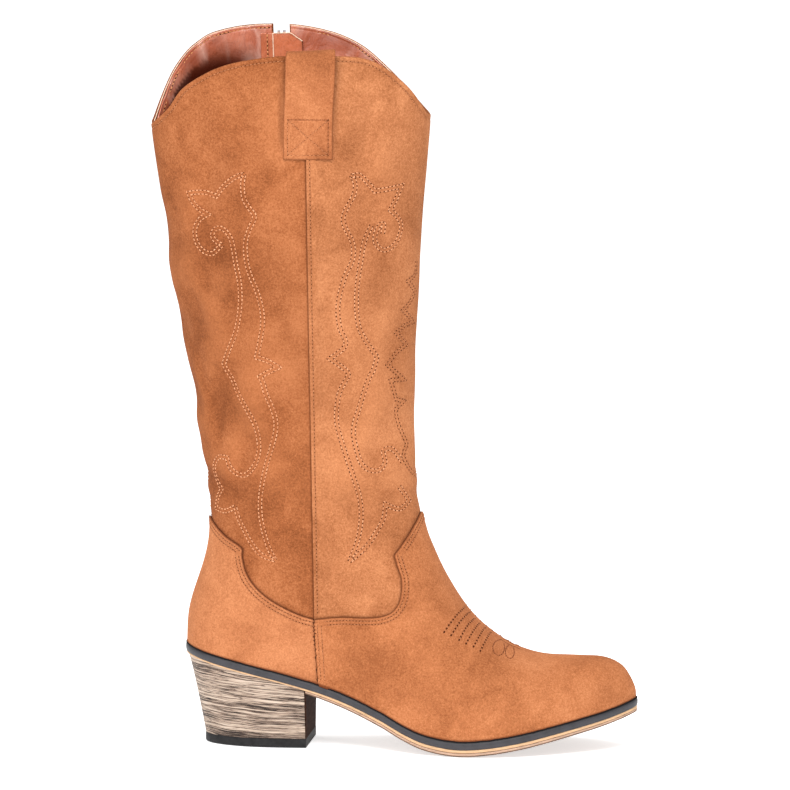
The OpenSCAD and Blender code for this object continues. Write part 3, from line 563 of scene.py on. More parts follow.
class Shader:
    """A material and short calls for its nodes; inputs take values or other outputs."""

    def __init__(self, name):
        self.material = bpy.data.materials.new(name)
        self.material.use_nodes = True
        self.tree = self.material.node_tree
        self.principled = self.tree.nodes["Principled BSDF"]

    def feed(self, node, inputs):
        for key, value in inputs.items():
            if isinstance(value, bpy.types.NodeSocket):
                self.tree.links.new(value, node.inputs[key])
            else:
                node.inputs[key].default_value = value

    def node(self, kind, inputs, **settings):
        node = self.tree.nodes.new("ShaderNode" + kind)
        for key, value in settings.items():
            setattr(node, key, value)
        self.feed(node, inputs)
        return node

    def place(self, scale=(1, 1, 1), location=(0, 0, 0)):
        coordinates = self.node("TexCoord", {})
        return self.node("Mapping", {"Vector": coordinates.outputs["Object"], "Scale": scale,
                                     "Location": location}).outputs[0]

    def noise(self, vector, scale, detail=3.0, rough=0.55, distortion=0.0):
        return self.node("TexNoise", {
            "Scale": scale, "Detail": detail, "Roughness": rough, "Distortion": distortion,
            "Vector": vector}).outputs[0]

    def wave(self, vector, scale, distortion=0.0):
        return self.node("TexWave", {"Scale": scale, "Distortion": distortion,
                                     "Vector": vector}, bands_direction="DIAGONAL").outputs[0]

    def ramp(self, value, *stops):
        node = self.node("ValToRGB", {"Fac": value})
        elements = node.color_ramp.elements
        while len(elements) > 1:
            elements.remove(elements[-1])
        elements[0].position, elements[0].color = stops[0]
        for position, colour in stops[1:]:
            elements.new(position).color = colour
        return node.outputs[0]

    def mix(self, first, second, factor):
        return self.node("Mix", {6: first, 7: second, 0: factor}, data_type="RGBA").outputs[2]

    def math(self, operation, *values):
        return self.node("Math", dict(enumerate(values)), operation=operation).outputs[0]

    def attribute(self, name):
        return self.node("Attribute", {}, attribute_name=name).outputs["Fac"]

    def bump(self, height, strength, distance, under=None):
        inputs = {"Strength": strength, "Distance": distance, "Height": height}
        if under is not None:
            inputs["Normal"] = under
        return self.node("Bump", inputs).outputs["Normal"]

    def finish(self, inputs):
        self.feed(self.principled, inputs)
        return self.material


# ------------------------------------------------------------------ materials
def suede(name, base, light, dark, mottle, shift):
    """Napped leather; the shade attribute darkens it, mostly with painted shade, and a second
    attribute paints light on the crests of its folds.
    """
    s = Shader(name)
    place = s.place(location=(shift, shift * 0.7, shift * 0.3))
    cloud = s.noise(place, scale=13, detail=2, rough=0.5, distortion=0.6)
    patch = s.noise(place, scale=34, detail=3, rough=0.55, distortion=0.8)
    speck = s.noise(place, scale=260, detail=2, rough=0.5, distortion=0.2)
    nap = s.noise(place, scale=820, detail=2, rough=0.6, distortion=0.2)
    fine = s.noise(place, scale=1700, detail=2, rough=0.7)
    tone = 0.5
    for layer, weight in ((cloud, 1.1), (patch, 1.1), (speck, 0.25), (nap, 1.15), (fine, 1.2)):
        swing = s.math("MULTIPLY", s.math("SUBTRACT", layer, 0.5), weight * mottle)
        tone = s.math("ADD", tone, swing)
    colour = s.ramp(tone, (0.0, dark), (0.5, base), (1.0, light))
    colour = s.mix(colour, tinted(dark, 0.45, 0.36, 0.34), s.attribute("shade"))
    painted_crest_light = s.math("MULTIPLY", s.attribute("painted_crest_light"), 0.5)
    return s.finish({
        "Base Color": s.mix(colour, tinted(light, 1.12, 1.12, 1.1), painted_crest_light),
        "Roughness": 0.95, "Specular IOR Level": 0.1,
        "Sheen Weight": 0.16, "Sheen Roughness": 0.4,
        "Sheen Tint": tinted(light, 1.2, 1.3, 1.4),
        "Normal": s.bump(nap, strength=0.5, distance=0.0006,
                         under=s.bump(fine, strength=0.6, distance=0.0003))})


def lining(name, base, light, dark, rough, painted_highlight=0.0):
    """Coated leather with pores and creases, and if asked for, pale streaks of painted highlight.
    """
    s = Shader(name)
    place = s.place()
    cloud = s.noise(place, scale=30, detail=4, rough=0.6, distortion=0.8)
    crease = s.noise(s.place((1, 1, 0.5)), scale=150, detail=5, rough=0.65, distortion=1.6)
    pores = s.node("TexVoronoi", {"Scale": 900, "Vector": place}).outputs[0]
    colour = s.ramp(cloud, (0.25, dark), (0.5, base), (0.78, light))
    ridge = s.math("ABSOLUTE", s.math("SUBTRACT", crease, 0.5))
    line = s.math("MULTIPLY", s.math("LESS_THAN", ridge, 0.018), 0.55)
    colour = s.mix(colour, dark, line)
    shade = s.attribute("shade")
    if painted_highlight > 0:
        # painted highlight: pale streaks that stand in for reflections on the glossy coat
        streak = s.noise(s.place((1, 1, 0.42)), scale=72, detail=3, rough=0.5, distortion=0.8)
        sheen = s.ramp(streak, (0.5, (0, 0, 0, 1)), (0.62, (0.4, 0.4, 0.4, 1)),
                       (0.76, (1, 1, 1, 1)))
        colour = s.mix(colour, srgb(236, 190, 172), s.math("MULTIPLY", sheen, painted_highlight))
    colour = s.mix(colour, tinted(dark, 0.1, 0.05, 0.04), shade)
    # value the reflection falls back to when its link is taken off
    s.principled.inputs["Specular IOR Level"].default_value = 0.6
    coat = s.math("MULTIPLY", s.math("SUBTRACT", 1.0, shade), 0.6)
    specular = s.math("MULTIPLY", s.math("SUBTRACT", 1.0, shade), 0.5)
    relief = s.bump(pores, strength=0.12, distance=0.0002)
    relief = s.bump(crease, strength=0.22, distance=0.0012, under=relief)
    return s.finish({
        "Base Color": colour, "Roughness": rough, "Coat Weight": coat,
        "Specular IOR Level": specular, "Coat Roughness": 0.16,
        "Normal": s.bump(cloud, strength=0.4, distance=0.006, under=relief)})


def plain(name, colour, rough, specular=0.4, vary=0.12, scale=220, relief=0.25,
          depth=0.0003, metallic=0.0, stretch=(1, 1, 1), shade=None):
    """One colour with noise in its tone, roughness and surface."""
    s = Shader(name)
    place = s.place(stretch)
    tone = s.noise(place, scale, detail=4, rough=0.6)
    grain = s.noise(place, scale * 6, detail=2, rough=0.6)
    darker = tinted(colour, *[1 - vary * 2] * 3)
    lighter = (*(min(1, c * (1 + vary) + 0.01 * vary) for c in colour[:3]), 1)
    base = s.ramp(tone, (0.3, darker), (0.5, colour), (0.72, lighter))
    if shade is not None:
        base = s.mix(base, shade, s.attribute("shade"))
    roughness = s.node("MapRange", {
        "To Min": max(0.03, rough - 0.1), "To Max": min(1, rough + 0.1), "Value": grain})
    return s.finish({
        "Base Color": base, "Roughness": roughness.outputs[0],
        "Specular IOR Level": specular, "Metallic": metallic,
        "Normal": s.bump(grain, relief, depth)})


def woven_tape(name):
    s = Shader(name)
    weave = s.wave(s.place(), scale=520, distortion=0.6)
    return s.finish({
        "Base Color": s.ramp(weave, (0.2, srgb(96, 56, 38)), (0.7, srgb(138, 84, 58))),
        "Roughness": 0.9, "Sheen Weight": 0.2,
        "Normal": s.bump(weave, strength=0.5, distance=0.0003)})


def thread(name, dark, light):
    s = Shader(name)
    place = s.place()
    tone = s.noise(place, scale=420, detail=2)
    twist = s.wave(place, scale=900)
    colour = s.ramp(tone, (0.3, dark), (0.7, light))
    return s.finish({
        "Base Color": s.mix(colour, dark, s.math("MULTIPLY", twist, 0.35)),
        "Roughness": 0.75, "Specular IOR Level": 0.3,
        "Normal": s.bump(twist, strength=0.5, distance=0.0002)})


def veneer(name):
    """Stacked layers whose grain follows the seat and lies level at the heel's foot."""
    s = Shader(name)
    axes = s.node("SeparateXYZ", {0: s.node("TexCoord", {}).outputs["Object"]}).outputs
    sag = s.math("MULTIPLY", s.math("MULTIPLY", axes[0], axes[2]), 2.5)
    wobble = s.noise(s.place(), scale=22, detail=2, rough=0.5)
    level = s.math("ADD", s.math("ADD", axes[2], sag), s.math("MULTIPLY", wobble, 0.0035))

    def grain(length, layers, detail, rough, distortion=0.0):
        vector = s.node("CombineXYZ", {
            0: s.math("MULTIPLY", axes[0], length), 1: s.math("MULTIPLY", axes[1], length),
            2: s.math("MULTIPLY", level, layers)})
        return s.noise(vector.outputs[0], 1.0, detail, rough, distortion)

    coarse = grain(length=24.0, layers=1250.0, detail=4, rough=0.75, distortion=0.1)
    fine = grain(length=42.0, layers=2900.0, detail=3, rough=0.75)
    broad = grain(length=14.0, layers=150.0, detail=2, rough=0.5, distortion=0.2)
    tone = s.math("ADD", s.math("MULTIPLY", coarse, 0.5), s.math("MULTIPLY", fine, 0.5))
    swing = s.math("MULTIPLY", s.math("SUBTRACT", broad, 0.5), 0.22)
    tone = s.math("ADD", tone, swing)
    # thin dark pores that run with the grain: length, layers, depth
    for length, layers, depth in ((26.0, 620.0, 0.085), (38.0, 1050.0, 0.05)):
        pores = grain(length, layers, detail=2, rough=0.5)
        away = s.math("ABSOLUTE", s.math("SUBTRACT", pores, 0.5), 0.0)
        line = s.math("SUBTRACT", 1.0, s.math("MULTIPLY", away, 38.0))
        line = s.math("MAXIMUM", line, 0.0)
        tone = s.math("SUBTRACT", tone, s.math("MULTIPLY", line, depth))
    colour = s.ramp(
        tone, (0.4, srgb(34, 25, 20)), (0.455, srgb(66, 51, 43)), (0.482, srgb(128, 106, 92)),
        (0.512, srgb(172, 152, 134)), (0.555, srgb(188, 168, 150)), (0.61, srgb(206, 188, 171)))
    return s.finish({"Base Color": colour, "Roughness": 0.6, "Specular IOR Level": 0.3,
                     "Normal": s.bump(tone, strength=0.7, distance=0.0006)})


# suedes: name, base, light and dark colour, strength of the mottling, shift of the pattern
FRONT_SUEDE, BACK_SUEDE, VAMP_SUEDE, COUNTER_SUEDE, STRAP_SUEDE = (
    suede(name, srgb(*base), srgb(*light), srgb(*dark), mottle, shift)
    for name, base, light, dark, mottle, shift in (
        ("suede_front", (166, 104, 66), (194, 129, 87), (132, 77, 44), 1.0, 0.0),
        ("suede_back", (147, 85, 49), (176, 110, 70), (112, 60, 31), 1.0, 1.3),
        ("suede_vamp", (173, 107, 67), (199, 131, 88), (139, 80, 46), 0.95, 2.1),
        ("suede_counter", (180, 114, 74), (206, 139, 96), (148, 88, 54), 0.9, 3.7),
        ("suede_strap", (162, 98, 61), (188, 122, 81), (130, 74, 43), 0.9, 4.4)))
LINING = lining("lining_coated", srgb(182, 99, 70), srgb(204, 124, 93), srgb(148, 72, 48),
                rough=0.3, painted_highlight=0.62)
GUARD = lining("lining_guard", srgb(196, 104, 64), srgb(206, 118, 78), srgb(168, 84, 50),
               rough=0.42)
SOCK = lining("sock_coated", srgb(206, 150, 118), srgb(218, 165, 134), srgb(180, 124, 95),
              rough=0.5)
WELT = plain("welt_rubber", srgb(47, 46, 51), rough=0.5, specular=0.5, vary=0.16, scale=160,
             relief=0.3, depth=0.0002, shade=(0.004, 0.004, 0.004, 1))
# near-black: painted shadow of the crease at the welt
CREASE_SHADOW = plain("welt_crease_painted_shadow", srgb(24, 21, 22), rough=0.8, specular=0.1, vary=0.1,
               scale=200)
MIDSOLE = plain("midsole_tan", srgb(204, 166, 128), rough=0.75, specular=0.3, scale=120,
                stretch=(1, 1, 8))
OUTSOLE = plain("outsole_tan", srgb(184, 152, 130), rough=0.78, specular=0.3, vary=0.16,
                scale=140, stretch=(1, 1, 8))
TREAD = plain("outsole_tread", srgb(112, 88, 72), rough=0.85, specular=0.3, vary=0.2,
              scale=160, relief=0.4)
TOP_LIFT = plain("top_lift_rubber", srgb(28, 27, 28), rough=0.6, specular=0.25, vary=0.3,
                 scale=240, relief=0.5, depth=0.0004)
HEEL_CORE = plain("heel_core", srgb(54, 30, 19), rough=0.8, specular=0.06, vary=0.3, scale=90,
                  relief=0.3, stretch=(1, 1, 7))
RAW_EDGE = plain("lining_raw_edge", srgb(236, 202, 176), rough=0.8, specular=0.2, vary=0.1,
                 scale=400)
STEEL = plain("steel", (0.55, 0.55, 0.57, 1), rough=0.3, specular=0.5, vary=0.08, scale=300,
              relief=0.1, depth=0.0001, metallic=1.0, stretch=(1, 1, 6))
BRASS = plain("brass", (0.72, 0.55, 0.26, 1), rough=0.3, specular=0.5, vary=0.08, scale=300,
              relief=0.1, depth=0.0001, metallic=1.0)
NICKEL = plain("nickel", (0.74, 0.74, 0.76, 1), rough=0.18, specular=0.5, vary=0.05,
               scale=500, relief=0.08, depth=0.0001, metallic=1.0)
BOARD = plain("fibreboard", srgb(176, 150, 116), rough=0.9, specular=0.2, vary=0.15,
              scale=500, relief=0.4)
FILLER = plain("filler_foam", srgb(92, 72, 56), rough=0.95, specular=0.1, vary=0.35,
               scale=420, relief=0.6, depth=0.0006)
STIFFENER = plain("stiffener", srgb(160, 148, 126), rough=0.9, specular=0.2, scale=300)
COIL = plain("zip_coil", srgb(52, 40, 34), rough=0.4, specular=0.5, vary=0.2, scale=500,
             relief=0.2)
TAPE = woven_tape("zip_tape")
THREAD_TONE = thread("thread_tone", srgb(158, 96, 58), srgb(196, 130, 86))
THREAD_TAN = thread("thread_tan", srgb(190, 120, 76), srgb(232, 172, 130))
THREAD_BROWN = thread("thread_brown", srgb(140, 78, 44), srgb(170, 100, 60))
THREAD_LINING = thread("thread_lining", srgb(196, 128, 80), srgb(226, 164, 112))
NEEDLE_HOLE = plain("needle_hole", srgb(82, 40, 20), rough=0.95, specular=0.05, vary=0.2,
                    scale=500)
VENEER = veneer("heel_veneer")

# ------------------------------------------------------------------ grid over the whole upper
# Each section joins a place on the back line to one on the front line. Both are told by a
# number: up to 0 it counts down the leg, above 0 it counts forward along the foot.
STATIONS = np.array([
    [-384, -300], [-324, -240], [-264, -180], [-204, -121], [-160, -80], [-129, -46],
    [-100, -22], [-75, -8], [-50, 0], [-24, 2.5], [0, 5], [9, 6.5], [28, 10], [58, 14.5],
    [88, 21.5], [118, 32], [143, 44], [168, 57], [193, 73], [215, 87], [233, 100],
    [248, 111], [259, 119.5], [267, 126], [271.8, 130.6], [274, 132]], float)
CORNER_STATION = 10  # the section through the heel's bottom corner


def section_ends(places):
    """x and z of the sections' back ends, then of their front ends."""
    knots = np.arange(len(STATIONS))
    back, front = (np.interp(places, knots, column) for column in STATIONS.T)
    back = np.where(places == CORNER_STATION, 0.0, back)
    ends = (np.where(back <= 0, back_x(61 - back), HEEL_X + back),
            np.where(back <= 0, 61 - back, feather_z(HEEL_X + back)),
            np.where(front <= 0, front_x(145.1 - front), 99 + front),
            np.where(front <= 0, 145.1 - front, feather_z(99 + front) + rise(99 + front)))
    return back, ends


def base_grid(spacing, half_count):
    """Points, normals, side and faces of the upper; half_count steps on each side."""
    fine = np.linspace(0, len(STATIONS) - 1, 4001)
    _, (ax, az, bx, bz) = section_ends(fine)
    moved = np.maximum(np.hypot(np.diff(ax), np.diff(az)), np.hypot(np.diff(bx), np.diff(bz)))
    travelled = np.r_[0, np.cumsum(moved)]
    corner = float(np.interp(CORNER_STATION, fine, travelled))
    to_corner = int(round(corner / spacing))
    onward = int(round((travelled[-1] - corner) / spacing))
    s = np.r_[np.linspace(0, corner, to_corner + 1),
              np.linspace(corner, travelled[-1], onward + 1)[1:]]
    places = np.interp(s, travelled, fine)
    places[to_corner] = CORNER_STATION
    back, (ax, az, bx, bz) = section_ends(places)
    last = len(places) - 1
    m = np.linspace(0, 1, half_count + 1)
    blend = ease(0, 70, back)[:, None]
    w = (1 - blend) * (1 - np.cos(np.pi * m)) / 2 + blend * np.sin(np.pi * m / 2)
    x = ax[:, None] * (1 - w) + bx[:, None] * w
    z = az[:, None] * (1 - w) + bz[:, None] * w
    outer = skin(x, z, -1.0)
    inner = skin(x, z, 1.0)
    outer[:, half_count, 1] = centre_y(x[:, half_count], z[:, half_count])
    shut = back <= 0  # sections that close at the back of the leg
    outer[shut, 0, 1] = centre_y(x[shut, 0], z[shut, 0])
    inner[shut, 0, 1] = outer[shut, 0, 1]
    grid = np.concatenate([outer, inner[:, half_count - 1::-1]], axis=1)
    grid[last] = np.array([TOE_X, float(centre_y(TOE_X, 35)), 30.4])
    side = np.r_[-np.ones(half_count + 1), np.ones(half_count)][None, :].repeat(last + 1, 0)
    # normals from the neighbours
    down = np.empty_like(grid)
    down[1:-1] = grid[2:] - grid[:-2]
    down[0] = grid[1] - grid[0]
    down[-1] = grid[-1] - grid[-2]
    around = np.empty_like(grid)
    around[:, 1:-1] = grid[:, 2:] - grid[:, :-2]
    bridge = grid[:, 1] - grid[:, -2]
    around[:, 0] = np.where(shut[:, None], bridge, grid[:, 1] - grid[:, 0])
    around[:, -1] = np.where(shut[:, None], bridge, grid[:, -1] - grid[:, -2])
    normals = unit(np.cross(down, around))
    normals[last] = unit(np.array([1, 0, 0.1]))
    index = ring_index(last + 1, 2 * half_count + 1)
    index[shut, -1] = index[shut, 0]
    rim_row, tip = index[last - 1].tolist(), int(index[last, 0])
    faces = quads(index[:last], flip=True)
    faces += [(a, tip, b) for a, b in zip(rim_row, rim_row[1:])]
    return grid.reshape(-1, 3), normals.reshape(-1, 3), side.reshape(-1), faces


def tree_of(points):
    tree = kdtree.KDTree(len(points))
    for i, point in enumerate(points):
        tree.insert(point, i)
    tree.balance()
    return tree


def distances(points, targets):
    tree = tree_of(targets)
    return np.array([tree.find(Vector(point))[2] for point in points])


def to_curves(points, curves):
    return distances(points, np.vstack([resample(curve, 0.25) for curve in curves]))


grid_points, grid_normals, grid_side, grid_faces = base_grid(1.9, 104)
grid_tree = tree_of(grid_points)


def snap(points):
    """Nearest points of the reference surface, and their normals."""
    points = np.asarray(points, float)
    snapped, normals = np.empty_like(points), np.empty_like(points)
    for i, point in enumerate(points):
        best = grid_tree.find_n(Vector(point), 4)
        weight = np.array([1 / (found[2] + 0.15) for found in best])
        ids = [found[1] for found in best]
        normal = unit((grid_normals[ids] * weight[:, None]).sum(0))
        offsets = ((point - grid_points[ids]) * grid_normals[ids]).sum(1)
        height = (offsets * weight).sum() / weight.sum()
        snapped[i], normals[i] = point - height * normal, normal
    return snapped, normals


def laid_line(line, side, count=700):
    """A side-view line laid on the boot, up to where it meets the boot's outline."""
    line = np.asarray(line, float)
    travelled = lengths(line)
    s = np.linspace(0, travelled[-1], 4000)
    spots = along(line, travelled, s)
    on_boot = half_width(spots[:, 0], spots[:, 1], side) > 0
    if on_boot.all():
        s = np.linspace(0, travelled[-1], count)
    else:
        k = np.argmin(on_boot)
        low, high = s[k - 1], s[k]
        for _ in range(40):
            middle = (low + high) / 2
            x, z = along(line, travelled, middle)
            if half_width(x, z, side) > 0:
                low = middle
            else:
                high = middle
        s = low * (1 - np.linspace(1, 0, count)**2)
    spots = along(line, travelled, s)
    return skin(spots[:, 0], spots[:, 1], float(side))


vamp_curves = [laid_line(VAMP_EDGE, side) for side in (-1, 1)]
counter_curves = [laid_line(COUNTER_EDGE[::-1], side) for side in (-1, 1)]
top_x = -65.4 + (106.0 + 65.4) * (1 - np.cos(np.pi * np.linspace(0, 1, 500))) / 2
# side-view line (x, z) and side
TOPLINES = [(np.column_stack([top_x, spline(table, top_x)]), side)
            for table, side in ((TOP_OUTER, -1.0), (TOP_INNER, 1.0))]
top_curves = [skin(np.clip(line[:, 0], back_x(line[:, 1]), front_x(line[:, 1])),
                   line[:, 1], side) for line, side in TOPLINES]

# What is known at each vertex. The distances are positive inside the piece:
# vamp and counter from their scalloped edges, low from either, top below the topline,
# seam ahead of the side seam (outer side) or of the zip (inner side),
# cross ahead of the vamp seam, feather above the welt line.
Fields = namedtuple(
    "Fields", "x y z nx ny nz side wrinkle vamp counter low top seam cross zip_z feather")


def view(rows):
    return Fields(*rows.T)


def inside_distance(points, outline, curves):
    distance = np.full(len(points), 60.0)
    low = points[:, 2] < 170
    distance[low] = to_curves(points[low], curves)
    return np.where(inside(points[:, [0, 2]], outline), distance, -distance)


def measured(points, normals, side):
    x, z = points[:, 0], points[:, 2]
    zip_place = to_zip(points)
    vamp = inside_distance(points, VAMP_OUTLINE, vamp_curves)
    counter = inside_distance(points, COUNTER_OUTLINE, counter_curves)
    nearer = np.minimum(np.abs(vamp), np.abs(counter))
    low = np.where((vamp > 0) | (counter > 0), nearer, -nearer)
    top = top_z(x, side) - z
    near = np.abs(top) < 14
    top[near] = np.sign(top[near]) * to_curves(points[near], top_curves)
    seam = np.where(side < 0, x - seam_x(z), zip_place[:, 0])
    return np.column_stack([points, normals, side, wrinkle(points), vamp, counter, low, top,
                            seam, x - cross_x(z), zip_place[:, 2], z - feather_z(x)])


def with_fields(rows, **columns):
    rows = rows.copy()
    for name, values in columns.items():
        rows[:, Fields._fields.index(name)] = values
    return rows


fine_rows = measured(grid_points, grid_normals, grid_side)
FINE = (fine_rows, grid_faces)


# ------------------------------------------------------------------ upper panels
def by_side(at, outer, inner):
    return np.where(at.side < 0, outer, inner)


def edge_round(distance, radius):
    """Drop of a skin near its cut edge."""
    t = np.clip(1 - np.asarray(distance) / radius, 0, 1)
    return radius * (1 - np.sqrt(np.maximum(0, 1 - t * t)))


def stitch_groove(distance, centre):
    return 0.2 * bell(distance, centre, 0.6)


def lifted(rows, level):
    at = view(rows)
    return rows[:, :3] + unit(rows[:, 3:6]) * (level + at.wrinkle)[:, None]


def panel(name, material, slot, node, keep, clips, levels, outer, inner, shade=None,
          base=FINE):
    """Cuts a panel from the grid and closes it into a shell.

    keep marks vertices near the panel, clips are zero on its edges, levels are the extra
    cut lines, and outer, inner and shade give the heights and darkness of its skins.
    """
    rows, faces = base
    kept = keep(view(rows)).tolist()
    rows, faces = compact(rows, [f for f in faces if any(kept[q] for q in f)])
    for value in clips:
        rows, faces = compact(*cut(rows, faces, value(view(rows)), drop=True))
    for value, lines in levels:
        for line in lines:
            rows, faces = cut(rows, faces, value(view(rows)) - line)
    at = view(rows)
    attributes = {}
    if shade is not None:
        dark = np.clip(shade(at), 0, 1)
        attributes["shade"] = np.r_[dark, dark]
    if slot.startswith("suede"):
        # painted light on the crests of the folds and painted shade in their hollows
        none = 0 * at.wrinkle
        hollow = np.clip(-0.2 * at.wrinkle - 0.03, 0, 0.26)
        attributes["shade"] = np.maximum(np.r_[dark, np.maximum(dark, 0.25)],
                                         np.r_[hollow, none])
        attributes["painted_crest_light"] = np.r_[np.clip(0.34 * at.wrinkle, 0, 0.5), none]
    points, faces = shell(lifted(rows, outer(at)), lifted(rows, inner(at)), faces)
    build(name, points, faces, material, slot, [node], attributes=attributes)


def top(at):
    return at.top


def cross(at):
    return at.cross


EDGE = [0.18, 0.5, 0.9]  # cut lines that carry an edge's rounding
SHAFT_LEVELS = [(top, EDGE + [2.5, 3.0, 3.5]), (lambda at: at.low, [-1.8, -0.8, 0.0])]
ZIP_GAP = 5  # half width of the opening for the zip


# ---- shaft: on the outer side the front panel lies over the back panel
def lap_height(distance):
    return 1.05 * (1 - ease(5, 9.5, distance))


def front_lap(at):
    return by_side(at, lap_height(at.seam), 0.0)


def shaft_level(at):
    beside = np.abs(at.seam) - ZIP_GAP
    roll = edge_round(beside, 0.7) + stitch_groove(beside, 2.2) - 0.25 * bell(beside, 1.0, 0.9)
    return (-edge_round(at.top, 0.6) - by_side(at, 0, roll) - stitch_groove(at.top, 3.0)
            - 0.35 * ease(-0.2, 1.5, at.low))


def front_level(at):
    seam = edge_round(at.seam, 0.6) + stitch_groove(at.seam, 2.3)
    return front_lap(at) + shaft_level(at) - by_side(at, seam, 0)


def back_level(at):
    return shaft_level(at) - by_side(at, 0.35 * ease(-1.2, 0.2, at.seam), 0)


def shaft_inside(at):
    return -1.2 + edge_round(at.top, 0.45) * 0.8


def shaft_shade(at):
    """Darker over the low edge, at the topline, beside the strap and round mid height: painted
    shade under the covers' edge and in the topline's stitch groove, painted shadow beside the
    strap's edges.
    """
    dark = 0.75 * bell(np.maximum(-at.low, 0), 0, 0.9) * (at.low > -6)
    dark = np.maximum(dark, 0.5 * bell(at.top, 0, 0.3))
    dark = np.maximum(dark, 0.3 * bell(at.top, 3.0, 0.4))
    # painted shadow cast by the strap's edges onto the outer side
    strap = ease(366, 380, at.z) * (at.side < 0)
    lean = 1.9 * ease(378, 430, at.z)
    dark = np.maximum(dark, 0.45 * bell(at.x - 20.4 - lean, 0, 1.8) * strap)
    dark = np.maximum(dark, 0.28 * bell(at.x - 52.2 - lean, 0, 1.8) * strap)
    middle = (ease(175, 235, at.z) * (1 - ease(295, 350, at.z))
              * (0.8 + 0.2 * np.sin(at.x / 9 + at.z / 23)))
    return np.maximum(dark, 0.12 * middle)


def front_shade(at):
    edge = by_side(at, at.seam, np.abs(at.seam) - ZIP_GAP)
    dark = np.maximum(shaft_shade(at), 0.7 * bell(edge, 0, 0.3))
    return np.maximum(dark, 0.25 * bell(edge, by_side(at, 2.3, 2.2), 0.4))


def back_shade(at):
    beside = np.abs(at.seam) - ZIP_GAP
    return np.maximum(shaft_shade(at), by_side(
        at, 0.6 * bell(np.maximum(-at.seam, 0), 0, 0.7), 0.7 * bell(beside, 0, 0.3)))


def near_front(at):
    return (at.top > -4) & by_side(at, at.seam > -4, at.seam > 1)


panel("shaft_front_suede", FRONT_SUEDE, "suede", "shaft_front_panel",
      keep=lambda at: (at.low < 12) & near_front(at),
      clips=[lambda at: by_side(at, at.seam - 0.05, at.seam - ZIP_GAP), top,
             lambda at: 8 - at.low],
      levels=[(lambda at: by_side(at, at.seam, at.seam - ZIP_GAP), EDGE + [1.8, 2.3, 2.9]),
              *SHAFT_LEVELS],
      outer=front_level, inner=lambda at: front_lap(at) + shaft_inside(at), shade=front_shade)
panel("shaft_back_suede", BACK_SUEDE, "suede_back", "shaft_back_panel",
      keep=lambda at: (at.low < 12) & (at.top > -4) & by_side(at, at.seam < 9, at.seam < -1),
      clips=[lambda at: by_side(at, 5.5 - at.seam, -at.seam - ZIP_GAP), top,
             lambda at: 8 - at.low],
      levels=[(lambda at: by_side(at, -at.seam, -at.seam - ZIP_GAP),
               [0.0] + EDGE + [1.8, 2.4]), *SHAFT_LEVELS],
      outer=back_level, inner=shaft_inside, shade=back_shade)

# ---- vamp and counter cover, lapped over the shaft with a scalloped edge
COVER_LEVEL = 1.5
COLLAR_LINES = EDGE + [1.4, 1.8, 2.3, 3.5, 4.0, 4.5]


def vamp_lap(at):
    return 0.95 * (1 - ease(4.5, 8.5, at.cross))


def collar(distance):
    return (edge_round(distance, 0.8) + stitch_groove(distance, 1.8)
            + stitch_groove(distance, 4.0) - 0.15 * bell(distance, 2.9, 0.8))


def vamp_level(at):
    return (COVER_LEVEL + vamp_lap(at) - collar(at.vamp) - edge_round(at.cross, 0.7)
            - stitch_groove(at.cross, 2.2) - stitch_groove(at.cross, 4.8))


def counter_level(at):
    return COVER_LEVEL - collar(at.counter) - 0.35 * ease(-0.6, 0.8, at.cross)


def collar_shade(at, distance):
    """Dark at the scalloped edge, in its two grooves and along the welt; the grooves and the
    crease above the welt carry painted shade.
    """
    dark = 0.75 * bell(distance, 0, 0.35)
    dark = np.maximum(dark, 0.2 * bell(distance, 1.8, 0.4))
    dark = np.maximum(dark, 0.2 * bell(distance, 4.0, 0.4))
    return np.maximum(dark, 0.95 * bell(np.maximum(at.feather - 0.9, 0), 0, 0.8))


panel("vamp_suede", VAMP_SUEDE, "suede", "vamp",
      keep=lambda at: (at.vamp > -4) & (at.cross > -4) & (at.z < 156),
      clips=[cross, lambda at: at.vamp],
      levels=[(lambda at: at.vamp, COLLAR_LINES),
              (cross, EDGE + [1.7, 2.2, 2.7, 4.3, 4.8, 5.3])],
      outer=vamp_level, inner=lambda at: 0.35 + vamp_lap(at),
      shade=lambda at: np.maximum(collar_shade(at, at.vamp), 0.8 * bell(at.cross, 0, 0.35)))
panel("counter_suede", COUNTER_SUEDE, "suede", "counter_cover",
      keep=lambda at: (at.counter > -4) & (at.cross < 7) & (at.z < 156),
      clips=[lambda at: 4 - at.cross, lambda at: at.counter],
      levels=[(lambda at: at.counter, COLLAR_LINES), (cross, [-1.0, 0.0])],
      outer=counter_level, inner=lambda at: 0.35,
      shade=lambda at: np.maximum(collar_shade(at, at.counter),
                                  0.7 * bell(np.minimum(at.cross, 0), 0, 0.8)))

# ---- shaft linings, creased and darker deep inside with painted shade
mixed_points = grid_points + 0.5 * grid_points[:, [2, 0, 1]]
crease = np.minimum(0.3, 1.5 * value_noise(grid_points / np.array([12, 12, 30.0]), 21)
                    + 0.6 * value_noise(mixed_points / np.array([6, 6, 16.0]), 22) - 0.35)
lining_rows = with_fields(fine_rows, wrinkle=(
    view(fine_rows).wrinkle * 0.8 + crease * ease(150, 200, grid_points[:, 2])
    * (1 - 0.6 * ease(408, 425, grid_points[:, 2]))))


def lining_top(at):
    return at.top - 0.9


def lining_shade(at):
    # painted shade inside the shaft, darker further below the topline
    back = (0.97 * ease(-8, 11, at.top - 4.5 - 0.2 * (at.x + 65))
            * (1 - ease(-20, 14, at.x)))
    return back + 0.8 * ease(20, 60, at.top) * ease(-8, 12, at.x)


